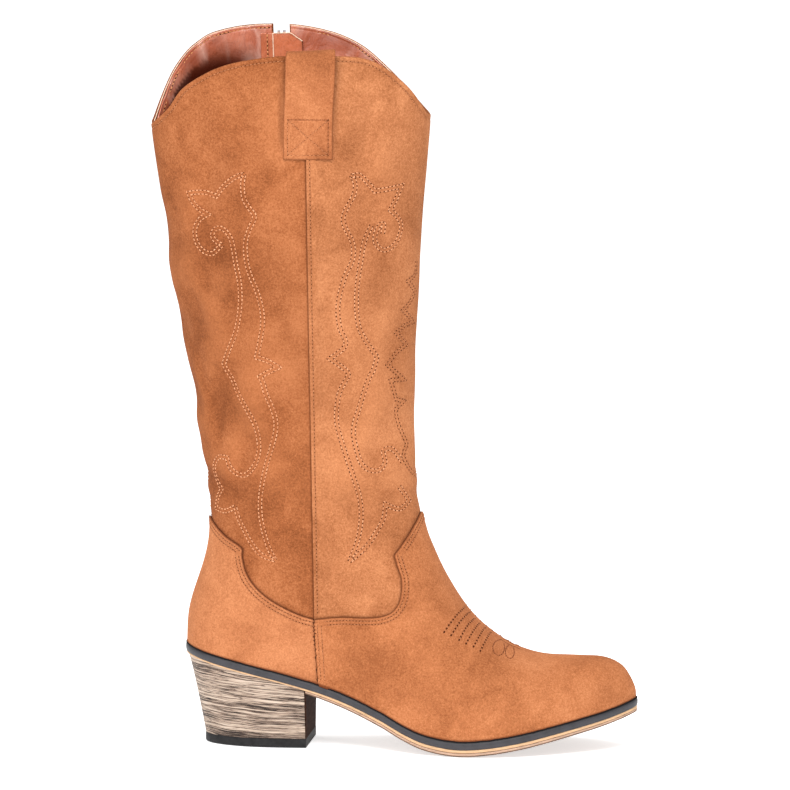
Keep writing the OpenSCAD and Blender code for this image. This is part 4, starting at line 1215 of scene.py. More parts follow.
for name, node, keep, clip in (
        ("shaft_lining_front_skin", "shaft_lining_front", near_front,
         lambda at: by_side(at, at.seam - 0.05, at.seam - 6)),
        ("shaft_lining_back_skin", "shaft_lining_back",
         lambda at: (at.top > -4) & by_side(at, at.seam < 4, at.seam < -1),
         lambda at: by_side(at, -0.05 - at.seam, -at.seam - 6))):
    panel(name, LINING, "lining", node,
          keep=lambda at, keep=keep: (at.low < 3) & keep(at),
          clips=[clip, lining_top, lambda at: -0.15 - at.low],
          levels=[(lining_top, [0.3, 0.7, 1.2, 1.6, 2.1])],
          outer=lambda at: (-1.75 - 0.3 * ease(0.9, 2.5, at.top)
                            - edge_round(lining_top(at), 0.4)),
          inner=lambda at: (-3.0 + edge_round(lining_top(at), 0.5)
                            + 0.25 * bell(lining_top(at), 1.6, 0.5)),
          shade=lining_shade, base=(lining_rows, grid_faces))

# ---- foot linings, cut from a coarser grid
*coarse_grid, coarse_faces = base_grid(3.4, 58)
coarse_rows = measured(*coarse_grid)
coarse_rows = with_fields(coarse_rows, wrinkle=0.3 * view(coarse_rows).wrinkle)
for name, node, way in (("vamp_lining_skin", "vamp_lining", 1),
                        ("counter_lining_skin", "counter_lining", -1)):
    panel(name, LINING, "lining", node,
          keep=lambda at, way=way: (at.low > -6) & (way * at.cross > -6),
          clips=[lambda at, way=way: way * at.cross - 0.15, lambda at: at.low - 0.15],
          levels=[], outer=lambda at: -2.0, inner=lambda at: -3.0,
          base=(coarse_rows, coarse_faces))

# ---- zip guard and tapes; here seam is the distance across the zip everywhere
GUARD_TOP = ZIP_LENGTH - 2.5
GUARD_BACK, GUARD_FRONT = -13, 13.5
zip_place = to_zip(grid_points)
guard_rows = with_fields(fine_rows, seam=zip_place[:, 0], wrinkle=(
    0.25 * value_noise(grid_points / np.array([7, 7, 12.0]), 31)
    * ease(-20, 60, zip_place[:, 2])))


def near_zip(at):
    return (at.side > 0) & (np.abs(at.seam) < 18) & (at.zip_z > -8)


def guard_back(at):
    return at.seam - GUARD_BACK


def guard_front(at):
    return GUARD_FRONT - at.seam


def guard_top(at):
    return GUARD_TOP - at.zip_z


def guard_round(at):
    return edge_round(
        np.minimum(np.minimum(guard_back(at), guard_front(at)), guard_top(at)), 0.4)


def guard_shade(at):
    # depth is painted shade, darker further down the guard inside the boot
    depth = np.maximum(0.5 * ease(6, 40, guard_top(at)), 0.15 * ease(-4.6, -5.4, at.seam))
    return np.maximum(0.85 * bell(guard_front(at), 0, 0.7), depth)


panel("zip_guard_skin", GUARD, "lining", "zip_guard", keep=near_zip,
      clips=[guard_back, guard_front, lambda at: at.zip_z + 2, guard_top,
             lambda at: GUARD_TOP + (6 - at.seam) * 5.5 / 7.5 - at.zip_z],
      levels=[(guard_top, [0.3, 0.8, 2.2]), (guard_back, [0.4, 1.0, 2.4]),
              (guard_front, [0.4, 1.0, 2.4])],
      outer=lambda at: -4.8 - guard_round(at), inner=lambda at: -5.7 + guard_round(at),
      shade=guard_shade, base=(guard_rows, grid_faces))
for end, way in (("front", 1), ("back", -1)):
    def outwards(at, way=way):
        return way * at.seam

    panel(f"zip_tape_{end}_weave", TAPE, "zip_tape", f"zip_tape_{end}", keep=near_zip,
          clips=[lambda at: outwards(at) - 2.7, lambda at: 14 - outwards(at),
                 lambda at: at.zip_z + 5, lambda at: ZIP_LENGTH - 6 - at.zip_z],
          levels=[(outwards, [3.4, 4.0, 4.6])],
          outer=lambda at: (-1.35 + 0.16 * bell(outwards(at), 4.0, 0.5)
                            - edge_round(outwards(at) - 2.7, 0.3)),
          inner=lambda at: -1.85, base=(with_fields(guard_rows, wrinkle=0), grid_faces))

# ------------------------------------------------------------------ stitches
rng = np.random.default_rng(7)
threads = {kind: Parts() for kind in ("tan", "tone", "brown", "lining", "hole")}
HEXAGON = np.arange(6) * math.pi / 3
HOLE_FACES = ([(0, i + 1, (i + 1) % 6 + 1) for i in range(6)]
              + [(7, (i + 1) % 6 + 1, i + 1) for i in range(6)])
# place along a stitch, height, share of the radius: the ends dip into the needle holes
STITCH_RINGS = [(-0.5, -0.22, 0.55), (-0.36, 0.02, 0.95), (0.0, 0.1, 1.0),
                (0.36, 0.02, 0.95), (0.5, -0.22, 0.55)]
STITCH_FACES = quads(ring_index(5, 6, True)) + [(5, 4, 3, 2, 1, 0), (24, 25, 26, 27, 28, 29)]


def stitches(path, normals, kind="tan", pitch=2.45, length=1.6, radius=0.33, lift=0.14,
             hole=(0.62, 0.44)):
    """Lays a row of single stitches; hole is the needle hole's half length and width."""
    path = np.asarray(path, float)
    travelled = lengths(path)
    total = travelled[-1]
    if total < pitch:
        return
    count = int(total / pitch)

    def frame_at(s):
        normal = unit(along(normals, travelled, s))
        forward = unit(along(path, travelled, s + 0.3) - along(path, travelled, s - 0.3))
        return along(path, travelled, s), normal, forward, unit(np.cross(normal, forward))

    jitter = rng.normal(0, 0.04, count)
    middle, normal, forward, across = frame_at((np.arange(count) + 0.5) * (total / count))
    cos, sin = (wave(HEXAGON)[None, :, None] for wave in (np.cos, np.sin))
    rings = []
    for place, height, share in STITCH_RINGS:
        centre = (middle + forward * (place * length + jitter[:, None])
                  + normal * (lift + height))
        rings.append(centre[:, None] + radius * share * (
            cos * across[:, None] + 0.8 * sin * normal[:, None]))
    for points in np.stack(rings, 1).reshape(count, -1, 3):
        threads[kind].add(points, STITCH_FACES)
    cos, sin = (wave(HEXAGON)[:, None] for wave in (np.cos, np.sin))
    for centre, normal, forward, across in zip(
            *frame_at(np.arange(count + 1) * (total / count))):
        ring = (centre + hole[0] * cos * forward + hole[1] * sin * across + normal * 0.02)
        threads["hole"].add(np.vstack([centre + normal * 0.13, ring, centre - normal * 0.3]),
                            HOLE_FACES)


def sew(x, z, side, level, kind="tan", **style):
    """A row over the wrinkled suede, from a side-view line."""
    points, normals = on_skin(x, z, side)
    stitches(points + normals * (level + wrinkle(points))[:, None], normals, kind, **style)


def runs(keep, least=5):
    """Index runs of at least that many points where keep holds without a break."""
    breaks = np.flatnonzero(np.diff(keep.astype(int)) != 0) + 1
    return [part for part in np.split(np.arange(len(keep)), breaks)
            if keep[part[0]] and len(part) >= least]


def row_near(path, level, **style):
    """A row on a path near the surface, leaving out the place under the zip's puller."""
    points, normals = snap(path)
    across, _, up = to_zip(points).T
    free = (points[:, 1] < 0) | (np.abs(across) > 5.4) | (up > 24) | (up < -45)
    for part in runs(free):
        lift = (level + wrinkle(points[part]))[:, None]
        stitches(points[part] + normals[part] * lift, normals[part], "tone", **style)


def beside(curve, inward, distance):
    """The curve moved along the surface, to the side that inward points to."""
    points, normals = snap(resample(curve, 1.0))
    across = np.cross(normals, unit(np.gradient(points, axis=0)))
    signs = np.sign((across * inward).sum(1))
    way = 1.0 if np.median(np.where(signs == 0, 1, signs)) > 0 else -1.0
    return points + across * way * distance


# ---- scalloped edges and the vamp seam, two rows each
for k, side in enumerate((-1, 1)):
    vamp_edge = resample(resample(vamp_curves[k], 0.4), 0.4)
    counter_edge = resample(counter_curves[k], 0.4)
    for arc, inward, edge in (
            (VAMP_ARCS[0], (0.25, 0, -0.6), vamp_edge),
            (VAMP_ARCS[1], (0.8, 0, -0.55), vamp_edge),
            (COUNTER_ARCS[0][::-1], (-0.3, 0, -0.8), counter_edge),
            (COUNTER_ARCS[1], (-0.3, 0, -0.8), counter_edge)):
        curve = laid_line(arc, side, 260)
        for distance in (1.8, 4.0):
            row = beside(curve, np.array(inward), distance)
            # in the notch the moved curve comes too close to the edge
            for part in runs(distances(row, edge) > distance - 0.22, least=4):
                row_near(resample(row[part], 0.8), COVER_LEVEL - 0.12,
                         pitch=2.0, length=1.3, radius=0.25, hole=(0.45, 0.3))
    for distance in (2.2, 4.8):
        z = np.linspace(44.5 - 0.25 * distance, 79.0 - distance * 0.3, 80)
        points, _ = on_skin(cross_x(z) + distance * 0.97, z, side)
        row_near(points, COVER_LEVEL + 0.82, pitch=2.2, length=1.5, radius=0.25,
                 hole=(0.32, 0.22))

# ---- topline: a row on the suede and one on the lining
for line, side in TOPLINES:
    forward = unit(np.gradient(line, axis=0))
    downward = np.stack([forward[:, 1], -forward[:, 0]], 1)
    downward = np.where(downward[:, 1:] > 0, -downward, downward)
    for distance, zip_gap, on_suede in ((3.0, 6.2, True), (2.5, 7.2, False)):
        x, z = (line + downward * distance).T
        on_boot = (x > back_x(z) + 0.4) & (x < front_x(z) - 0.4)
        points, normals = on_skin(x[on_boot], z[on_boot], side)
        for part in runs((side < 0) | (np.abs(to_zip(points)[:, 0]) > zip_gap)):
            spots, normal = points[part], normals[part]
            if on_suede:
                ahead = spots[:, 0] - seam_x(spots[:, 2])
                lap = np.where((ahead > 0) & (side < 0), lap_height(ahead), 0)
                lift = (-0.1 + wrinkle(spots) + lap)[:, None]
                stitches(spots + normal * lift, normal, "tone", pitch=2.4, length=1.6,
                         radius=0.25, hole=(0.32, 0.22))
            else:
                stitches(spots + normal * -2.8, -normal, "lining", pitch=2.5, length=1.7,
                         radius=0.3, lift=0.12)

# ---- raw edge of the lining, a thin pale line inside the suede
bead = Parts()
for line, side in TOPLINES:
    z = line[:, 1] - 0.75
    x = np.clip(line[:, 0], back_x(z) + 0.02, front_x(z) - 0.02)
    points, normals = on_skin(x, z, side)
    points = points + normals * -1.62
    for part in runs((side < 0) | (np.abs(to_zip(points)[:, 0]) > 5.6)):
        bead.add(*tube(resample(points[part], 1.6), 0.3))
build("topline_bead", *bead.mesh(), RAW_EDGE, "lining")

# ---- outer side seam, ahead of it
z = np.linspace(85.5, 425.0, 700)
sew(seam_x(z) + 2.3, z, -1.0, 0.93, "tone", pitch=2.3, length=1.5, radius=0.28,
    hole=(0.42, 0.28))

# ---- both sides of the zip
for way in (-1, 1):
    up = np.linspace(-1.0, 344.0, 700)
    points, normals = on_zip(way * 7.2 + 0 * up, up)
    stitches(points + normals * -0.1, normals)


# ---- the guard's pale binding and the row down its back part
def guard_line(corners, level):
    points, normals = on_zip(*resample(corners, 1.2).T)
    return points + normals * level, normals


path, _ = guard_line([(-5.2, 150.0), (-5.2, 344.2), (6.0, 344.2), (13.2, 338.9)], -5.95)
build("guard_binding", *tube(path, 0.32), RAW_EDGE, "lining")
path, normals = guard_line([(-8.8, 150.0), (-8.8, 344.0)], -5.72)
stitches(path, -normals, "lining", pitch=2.5, length=1.7, radius=0.32, lift=0.2)

# ------------------------------------------------------------------ decorative stitching
# Lines of double rows: distance round the leg from the side seam or zip, and z.
# Each line is a list of pieces; a piece starts where the one before it ends.
FRONT_MOTIF = [
    [[(27.7, 354.9), (29.7, 350.6), (28.9, 343.2), (22, 328.6), (27.6, 313.8), (27.4, 303.4),
      (22, 291.8), (18.1, 275.8), (18.8, 262.2), (22.3, 251.3), (12.6, 242.9)],
     [(23.1, 234.4), (21.9, 229.4), (18.3, 222.7), (16.3, 213.4), (16.1, 201.7),
      (20.1, 186.8), (25, 170.7), (29, 157), (29.8, 144.1), (27.5, 130.6), (22.6, 117.8)]],
    [[(27.7, 354.9), (33.4, 354.8), (42, 345.3)],
     [(59.4, 347.6)],
     [(51.7, 333.2)],
     [(56.5, 328.7), (59.3, 322), (55.3, 312.7), (48, 308.8), (42.6, 312.1), (41.7, 317.7),
      (44.3, 323.7), (47.3, 324.8), (46.7, 319.3)]],
    [[(39.5, 323.9), (35.1, 314.8), (32.7, 303.2), (29.9, 286.1), (29.6, 270), (31.9, 258.6),
      (41.5, 243.1)],
     [(39.1, 235.7), (35.7, 229.1), (31.1, 215.6), (26.1, 199.7), (27.4, 186.7),
      (31.6, 176.1), (40.1, 172.7), (45.7, 177.3), (44.9, 184.7), (50.7, 185.6),
      (57.3, 177.6)]],
    [[(55.2, 161.8), (63, 152.8)],
     [(54.6, 148.4), (45.1, 152.1)],
     [(43.9, 143.6), (39.3, 135.6), (32.5, 126.3), (22.6, 117.8)]]]
BACK_MOTIF = [
    [[(38.1, 355.3), (39.2, 349.4), (38.6, 340.8), (35.3, 334.8), (32.1, 329.4),
      (35.6, 321.3), (37.9, 313.8), (37.8, 304), (35.8, 294.2), (31.3, 283.2), (28.7, 273.4),
      (28.2, 263.6), (29.8, 253.6), (32.2, 243)],
     [(25.4, 241), (19, 237.2)],
     [(25.5, 233.9), (30.4, 231.1)],
     [(28.8, 227.6), (27.1, 220.2), (24.2, 212.9), (21.9, 205.5), (21.6, 198.1),
      (23.9, 188.1), (27.9, 175.5), (30.8, 164.2), (32.6, 154.2), (32.6, 144.2),
      (30.6, 134.4), (27.3, 124.7), (23.5, 117.5)]],
    [[(38.1, 355.3), (42.5, 354), (48.3, 350.3), (53, 345.8), (56.7, 341.1)],
     [(63.1, 343.1), (69.4, 343.1), (74.8, 342.2)],
     [(72.5, 337.4), (68.3, 332.7), (62.4, 329.8)],
     [(67.8, 326.6), (71.3, 320.8), (71.2, 314.6), (68.5, 309.2), (64.2, 306.1),
      (59.4, 306), (55.6, 309.4), (53.2, 311.4)]],
    [[(53.4, 311.4), (57.4, 313.6), (59.7, 316.8), (58, 320.6), (54.2, 321.8), (50.6, 320.1),
      (47.5, 315.9), (45.9, 309.9), (44.3, 300.1), (42.6, 290.3), (42.3, 279.1),
      (43.5, 267.9), (46.1, 256.7), (50, 247.1), (53.9, 237.8)],
     [(52.3, 233.3), (49, 228.5), (42.7, 217.1), (37.7, 208.6), (34, 201.3), (32.3, 192.7),
      (32.5, 184), (36, 175.2), (42.2, 169.2), (47.8, 170), (51.5, 174.1), (53.2, 179.6)],
     [(59.5, 179.4), (63.8, 175.4), (65.8, 170.2), (65, 164), (61, 158.8)],
     [(64.4, 153.4), (66.9, 146.2)],
     [(58.3, 145.3), (50.1, 148.6)]],
    [[(50.1, 148.6), (48.1, 141.9), (43.8, 134.9), (38.3, 126.6), (31.7, 120.2),
      (23.5, 117.5)]]]
# the line down the front: distance back from the front outline, and z
CENTRE_MOTIF = [
    [(8, 299.3), (9.2, 292.1), (15.9, 288.5)],
    [(8, 281.5)], [(12.5, 275.5), (18.8, 270.9)], [(7.6, 262.4)],
    [(16.7, 261.1), (23.1, 257.4)], [(14, 249.1)], [(22.2, 244.7), (28, 237.7)],
    [(15.8, 228.1)], [(25.4, 228.3)], [(20.8, 216.2)], [(13.8, 214.3)], [(20.6, 210)],
    [(17.9, 199.9), (12.1, 187.6)], [(15.5, 180.6), (9.9, 171.6), (2.8, 167.2)]]
ARC_STEP = 4.0
ARC_Z = np.arange(104.0, 380.1, ARC_STEP)


def arc_table(side, start_x, end_x):
    """For each height, the distance round the leg from the start and the x there."""
    table = []
    for z in ARC_Z:
        start, end = float(start_x(z)), float(end_x(z))
        x = start + (end - start) * (1 - (1 - np.linspace(0, 1, 240)) ** 2)
        table.append((lengths(skin(x, z + 0 * x, side)), x))
    return table


def arc_to_x(table, distance, z):
    x = np.empty(len(distance))
    for i, (reach, height) in enumerate(zip(distance, z)):
        k = min(max((height - ARC_Z[0]) / ARC_STEP, 0), len(ARC_Z) - 1.001)
        j = int(k)
        part = k - j
        x[i] = ((1 - part) * np.interp(reach, *table[j])
                + part * np.interp(reach, *table[j + 1]))
    return x


def moved_piece(points, offset):
    points = np.array(points, float)
    line = smooth_line(points, 10) if len(points) > 2 else resample(points, 1.0)
    forward = unit(np.gradient(line, axis=0))
    return line + np.stack([-forward[:, 1], forward[:, 0]], -1) * offset


def chain(pieces, offset):
    """One polyline: the pieces moved sideways and joined where they cross or mitre."""
    joined = moved_piece(pieces[0], offset)
    for before, after in zip(pieces, pieces[1:]):
        piece = moved_piece([before[-1], *after], offset)
        end_way, start_way = unit(joined[-1] - joined[-2]), unit(piece[1] - piece[0])
        matrix = np.array([end_way, -start_way]).T
        if abs(np.linalg.det(matrix)) > 0.15:
            past, short = np.linalg.solve(matrix, piece[0] - joined[-1])
            corner = joined[-1] + end_way * past
            if past < 0:
                gap = max(np.linalg.norm(joined[-1] - joined[-2]), 0.05)
                joined = joined[:max(2, len(joined) - int(math.ceil(-past / gap)))]
            if short > 0:
                gap = max(np.linalg.norm(piece[1] - piece[0]), 0.05)
                piece = piece[min(len(piece) - 2, int(math.ceil(short / gap))):]
            if abs(past) < 4 and abs(short) < 4:
                joined = np.vstack([joined, corner[None], piece])
                continue
        joined = np.vstack([joined, piece])
    return joined


for side, start_x in ((-1.0, seam_x), (1.0, zip_x)):
    for end_x, motif, style in (
            (front_x, FRONT_MOTIF, dict(radius=0.33, hole=(0.74, 0.5))),
            (back_x, BACK_MOTIF, dict(radius=0.38, hole=(0.52, 0.34)))):
        table = arc_table(side, start_x, end_x)
        half_turn = [distance[-1] for distance, _ in table]
        for pieces in motif:
            for offset in (-1.15, 1.15):
                reach, z = resample(chain(pieces, offset), 0.7).T
                reach = np.minimum(reach, np.interp(z, ARC_Z, half_turn) - 0.6)
                sew(arc_to_x(table, reach, z), z, side, -0.04, length=1.6, **style)
        for offset in (-1.05, 1.05) if motif is FRONT_MOTIF else ():
            line = resample(chain(CENTRE_MOTIF, offset), 0.6)
            reach, z = line[line[:, 0] > 0.5].T
            reach = np.maximum(0, np.interp(z, ARC_Z, half_turn) - reach)
            sew(arc_to_x(table, reach, z), z, side, -0.04, "tone", radius=0.3,
                hole=(0.85, 0.5))


def sew_vamp(line, **style):
    """A row on both sides of the vamp, kept just under the ridge."""
    x, z = line.T
    z = np.minimum(z, feather_z(x) + rise(x) - 0.12)
    for side in (-1.0, 1.0):
        sew(x, z, side, COVER_LEVEL, **style)


# ---- x, z of six rows over the top of the vamp
for row in (((126.9, 86.0), (122.7, 82.1), (117.6, 74.6)),
            ((129.5, 82.6), (126.0, 79.5), (121.7, 72.5)),
            ((132.9, 78.8), (129.9, 76.3), (126.4, 69.4)),
            ((135.9, 75.9), (133.5, 72.9), (130.5, 67.0)),
            ((139.1, 73.2), (137.3, 69.8), (134.9, 64.9)),
            ((142.7, 70.3), (141.2, 67.2), (139.1, 62.2))):
    sew_vamp(resample(smooth_line(row, 16), 0.5), kind="tone", pitch=2.7, length=1.5,
             radius=0.22, lift=0.05, hole=(0.98, 0.62))
# ---- x, z of two small loops ahead of them
for loop in ([(160.4, 59.8), (157.4, 61.6), (152.7, 63.3), (149.4, 65.2), (147.0, 65.6),
              (145.9, 64.7), (145.8, 62.8), (146.8, 60.5), (148.7, 59.0), (150.8, 58.8),
              (152.2, 59.9), (152.2, 61.9), (151.2, 63.6)],
             [(160.4, 59.8), (158.4, 61.2), (155.8, 61.9), (153.9, 62.1), (153.2, 61.3),
              (153.3, 59.9), (154.2, 58.0), (155.8, 56.8), (157.4, 56.6), (158.4, 57.6),
              (158.3, 59.2), (157.3, 60.7)]):
    sew_vamp(resample(smooth_line(loop, 10), 0.4), kind="brown", pitch=1.9, length=1.3,
             radius=0.22, hole=(0.6, 0.36))

# ------------------------------------------------------------------ pull strap
STRAP_X, STRAP_WIDTH = 36.2, 29.5
# z and height over the boot's surface, up the outside and over the topline
STRAP_OUTER = smooth_line([
    [365, 1.8], [379, 1.8], [392, 1.95], [405, 3.3], [418, 5.3], [425.5, 5.7], [430.3, 3.9],
    [432.1, 0.4], [431.8, -3], [429.4, -6], [425, -7.4], [416, -7.2], [406, -6.2],
    [396, -6]], 9)
STRAP_INNER = smooth_line([
    [365, 0.3], [379, 0.3], [392, 0.45], [405, 1.8], [418, 3.8], [425, 4.2], [428.9, 2.9],
    [430.4, 0], [430.2, -2.4], [428.4, -4.6], [424.6, -5.9], [416, -5.7], [406, -4.7],
    [396, -4.5]], 9)
STRAP_MIDDLE = (STRAP_OUTER + STRAP_INNER) / 2
edge_steps = np.array([0, 0.25, 0.7, 1.3, 2.4])
strap_across = np.r_[edge_steps, np.linspace(3.6, STRAP_WIDTH - 3.6, 14),
                     STRAP_WIDTH - edge_steps[::-1]]
strap_along = lengths(STRAP_OUTER)


def strap_x(across, z):
    return STRAP_X - STRAP_WIDTH / 2 + across + 1.9 * ease(378, 430, z)


def strap_bow(across, z):
    return 0.5 * np.sin(np.pi * across / STRAP_WIDTH) * ease(398, 425, z)


def strap_skin(profile, grooved):
    across, step = np.meshgrid(strap_across, np.arange(len(profile)), indexing="ij")
    from_edge = np.minimum(across, STRAP_WIDTH - across)
    from_end = np.minimum(strap_along, strap_along[-1] - strap_along)[step]
    drop = np.maximum(edge_round(from_edge, 0.6), edge_round(from_end, 0.6))
    if grooved:
        drop = drop + stitch_groove(from_edge, 2.6) * (1 - ease(389, 392, profile[step, 0]))
    t = np.clip(drop / 1.5, 0, 0.48)
    z, height = (profile[step, i] * (1 - t) + STRAP_MIDDLE[step, i] * t for i in (0, 1))
    spots = np.stack([across.ravel() / 9, step.ravel() / 14.0, 0 * across.ravel() + 3.3], -1)
    height = height + 0.22 * value_noise(spots, 41).reshape(across.shape)
    height = height + strap_bow(across, z)
    # the strap's back edge sits lower over the topline
    lower_z = z - 1.5 * (1 - across / STRAP_WIDTH) * ease(405, 430, z)
    points, normals = on_skin(strap_x(across, z), lower_z, -1.0)
    return (points + normals * height[..., None]).reshape(-1, 3)


from_edge = np.minimum(strap_across, STRAP_WIDTH - strap_across)[:, None]
strap_shade = np.clip(0.6 * bell(from_edge, 0, 0.45) + 0.75 * bell(strap_along[None, :], 0, 0.7),
                      0, 0.9).ravel()
points, faces = shell(strap_skin(STRAP_OUTER, True), strap_skin(STRAP_INNER, False),
                      quads(ring_index(len(strap_across), len(STRAP_OUTER)), flip=True))
build("pull_strap_suede", points, faces, STRAP_SUEDE, "suede", ["pull_strap"],
      attributes={"shade": np.r_[strap_shade, strap_shade]})

# box of stitching with a cross: distance across and z of both ends, thread
STRAP_STYLES = {"tone": dict(length=1.6, hole=(0.3, 0.2)),
                "brown": dict(length=1.35, hole=(0.42, 0.26))}
STRAP_HEIGHT = [[365, 1.8], [379, 1.8], [392, 1.95], [405, 3.3], [418, 5.3], [427.5, 5.7]]
for start, end, kind in (((2.6, 367.8), (26.9, 367.8), "tone"),
                         ((2.6, 389.5), (26.9, 389.5), "brown"),
                         ((2.6, 367.8), (2.6, 389.5), "tone"),
                         ((26.9, 367.8), (26.9, 389.5), "brown"),
                         ((3.2, 368.5), (26.3, 388.9), "tone"),
                         ((3.2, 388.9), (26.3, 368.5), "tone")):
    t = np.linspace(0, 1, 80)
    across, z = (a + (b - a) * t for a, b in zip(start, end))
    height = linear(STRAP_HEIGHT, z) + strap_bow(across, z)
    points, normals = on_skin(strap_x(across, z), z, -1.0)
    stitches(points + normals * height[:, None], normals, kind, pitch=2.4, radius=0.24,
             lift=0.05, **STRAP_STYLES[kind])

for kind, material in (("tan", THREAD_TAN), ("tone", THREAD_TONE), ("brown", THREAD_BROWN),
                       ("lining", THREAD_LINING), ("hole", NEEDLE_HOLE)):
    build("stitches_" + kind, *threads[kind].mesh(), material, "suede", sharp=0)

# ------------------------------------------------------------------ sole
WELT_BOTTOM = -4.5  # below the feather line
# x, thickness
MIDSOLE_THICKNESS = [[-46, 1], [20, 1], [45, 1.6], [100, 1.9], [236, 1.7]]
OUTSOLE_THICKNESS = [[30, 1.7], [60, 2.0], [110, 2.4], [180, 2.3], [236, 1.7]]
OUTSOLE_START = 32.2

outline_x = ((TOE_X + HEEL_X) / 2
             - (TOE_X - HEEL_X) / 2 * np.cos(np.pi * np.linspace(0, 1, 201)))
outline = np.stack([outline_x, plan_width(outline_x)], -1)
outline_ways = outline[2:] - outline[:-2]
outline_normals = np.vstack([
    [-1, 0], unit(np.stack([-outline_ways[:, 1], outline_ways[:, 0]], -1)), [1, 0]])


def rim(offset):
    """Half outline of the sole (x, half width), moved outwards by offset."""
    line = outline + offset * outline_normals
    line[:, 1] = np.maximum(line[:, 1], 0.0)
    return line


def rising(line):
    return line[np.r_[True, np.diff(line[:, 0]) > 1e-6]]


def midsole_z(x):
    return feather_z(x) + WELT_BOTTOM - linear(MIDSOLE_THICKNESS, x)


def outsole_z(x):
    return midsole_z(x) - linear(OUTSOLE_THICKNESS, x)


def full_loop(offset):
    half = rim(offset)
    loop = np.vstack([half * [1, -1], half[-2:0:-1]])
    loop[:, 1] += toe_in(loop[:, 0])
    return loop


# distance outwards and height over the feather line, round the welt's section
WELT_SECTION = [
    (-5.5, -0.2), (0.4, 0.35), (1.25, 0.42), (1.62, 0.12), (1.86, -0.25), (1.9, -0.62),
    (2.08, -0.95), (2.14, -1.6), (2.16, -2.4), (2.12, -3.2), (2.02, -3.9), (1.86, -4.32),
    (1.5, WELT_BOTTOM), (-5.5, WELT_BOTTOM)]
rings = []
for offset, height in WELT_SECTION:
    loop = full_loop(offset)
    rings.append(np.column_stack([loop, feather_z(loop[:, 0]) + height]))
index = ring_index(len(rings), len(rings[0]), True)
# the welt's top rings are painted near-black: painted shade of the crease under the upper
welt_shade = np.repeat([1.0 if height > -0.5 else 0.0 for _, height in WELT_SECTION],
                       len(rings[0]))
build("welt_band", np.vstack(rings), quads(np.vstack([index, index[:1]])), WELT, "welt",
      ["welt_strip"], sharp=50, attributes={"shade": welt_shade})

# a near-black tube where the upper meets the welt: painted shadow of the crease between them
loop = full_loop(1.62)
unevenness = 0.16 * value_noise(np.column_stack([loop / 2.6, 0 * loop[:, 0]]), 51)
loop = np.column_stack([loop, feather_z(loop[:, 0]) + 0.42 + unevenness])
build("welt_groove", *tube(loop, 0.44, closed=True), CREASE_SHADOW, "welt", ["welt_strip"])


def slab(offset, top, bottom, radius, start=None, recess=lambda x: 0 * x, spacing=1.4):
    """Solid of cross sections to the toe, from the heel or from x = start.

    top and bottom give z, radius rounds the long edges, recess hollows the underside.
    """
    line = rim(offset)
    first = line[0, 0] if start is None else start
    span = line[-1, 0] - first
    u = np.linspace(0, 1, int(span / spacing))
    crowding = 1.0 if start is None else 0.5  # sections crowd towards the round ends
    x = first + span * ((1 - np.cos(np.pi * u)) / 2 * crowding + u * (1 - crowding))
    width = np.maximum(np.interp(x, *rising(line).T), 0.12)
    high, low = top(x), bottom(x)
    r = np.minimum(np.minimum(radius, width * 0.6), (high - low) * 0.45)
    inset = np.maximum(width - 7, width * 0.5)
    hollow = low + recess(x)
    right = [(0 * x, high), (width - r, high), (width - r * 0.3, high - r * 0.3),
             (width, high - r), (width, low + r), (width - r * 0.3, low + r * 0.3),
             (width - r, low), (inset, low), (inset - 0.4, hollow), (0 * x, hollow)]
    left = [(-y, z) for y, z in right]
    section = left[3:0:-1] + right + left[8:3:-1]
    points = np.stack([np.stack([x, y + toe_in(x), z], -1) for y, z in section], axis=1)
    index = ring_index(len(x), len(section), True)
    ends = [tuple(index[0, :-1].tolist()), tuple(index[-1, -2::-1].tolist())]
    return points.reshape(-1, 3), quads(index, flip=True) + ends


def tread_recess(x):
    """Grooves across the tread under the ball of the foot."""
    return np.where((x >= 96) & (x <= 206) & (x % 4.2 < 1.5), 0.55, 0.0)


points, faces = slab(1.7, top=lambda x: feather_z(x) + WELT_BOTTOM - 0.02,
                     bottom=lambda x: np.maximum(2.4, midsole_z(x)), radius=0.35)
build("midsole_leather", points, faces, MIDSOLE, "midsole", ["midsole"], sharp=50)
points, faces = slab(1.85, top=lambda x: np.maximum(2.4, midsole_z(x)) - 0.22,
                     bottom=lambda x: np.maximum(0.75, outsole_z(x) + 0.75), radius=0.3,
                     start=OUTSOLE_START)
build("outsole_edge", points, faces, OUTSOLE, "outsole", ["outsole"], sharp=50)
points, faces = slab(1.7, top=lambda x: np.maximum(0.74, outsole_z(x) + 0.74),
                     bottom=lambda x: np.maximum(0.0, outsole_z(x)), radius=0.3,
                     start=OUTSOLE_START, recess=tread_recess, spacing=0.5)
build("outsole_tread", points, faces, TREAD, "outsole", sharp=50)
points, faces = slab(-5.6, top=lambda x: feather_z(x) + 7.2,
                     bottom=lambda x: feather_z(x) + 4.4, radius=1.2)
build("sock_lining_pad", points, faces, SOCK, "sock", ["sock_lining"], sharp=60)

# ------------------------------------------------------------------ heel
BREAST_X = 32.0  # the heel's flat front face
SEAT_OFFSET = 0.8
TREAD_REACH, TREAD_HALF_WIDTH = 33, 25
LIFT_TOP = 5.7
VENEER_THICKNESS = 0.8


def spread(count):
    """Places round the heel, -1 and 1 at the breast and 0 at the back."""
    a = np.linspace(-1, 1, count + 1)
    return np.sign(a) * np.abs(a) ** 0.8


def seat_ring(around, offset):
    line = rim(SEAT_OFFSET + offset)
    x = BREAST_X - (BREAST_X - line[0, 0]) * (1 - np.abs(around) ** 1.9)
    return x, np.sign(around) * np.interp(x, *rising(line).T)


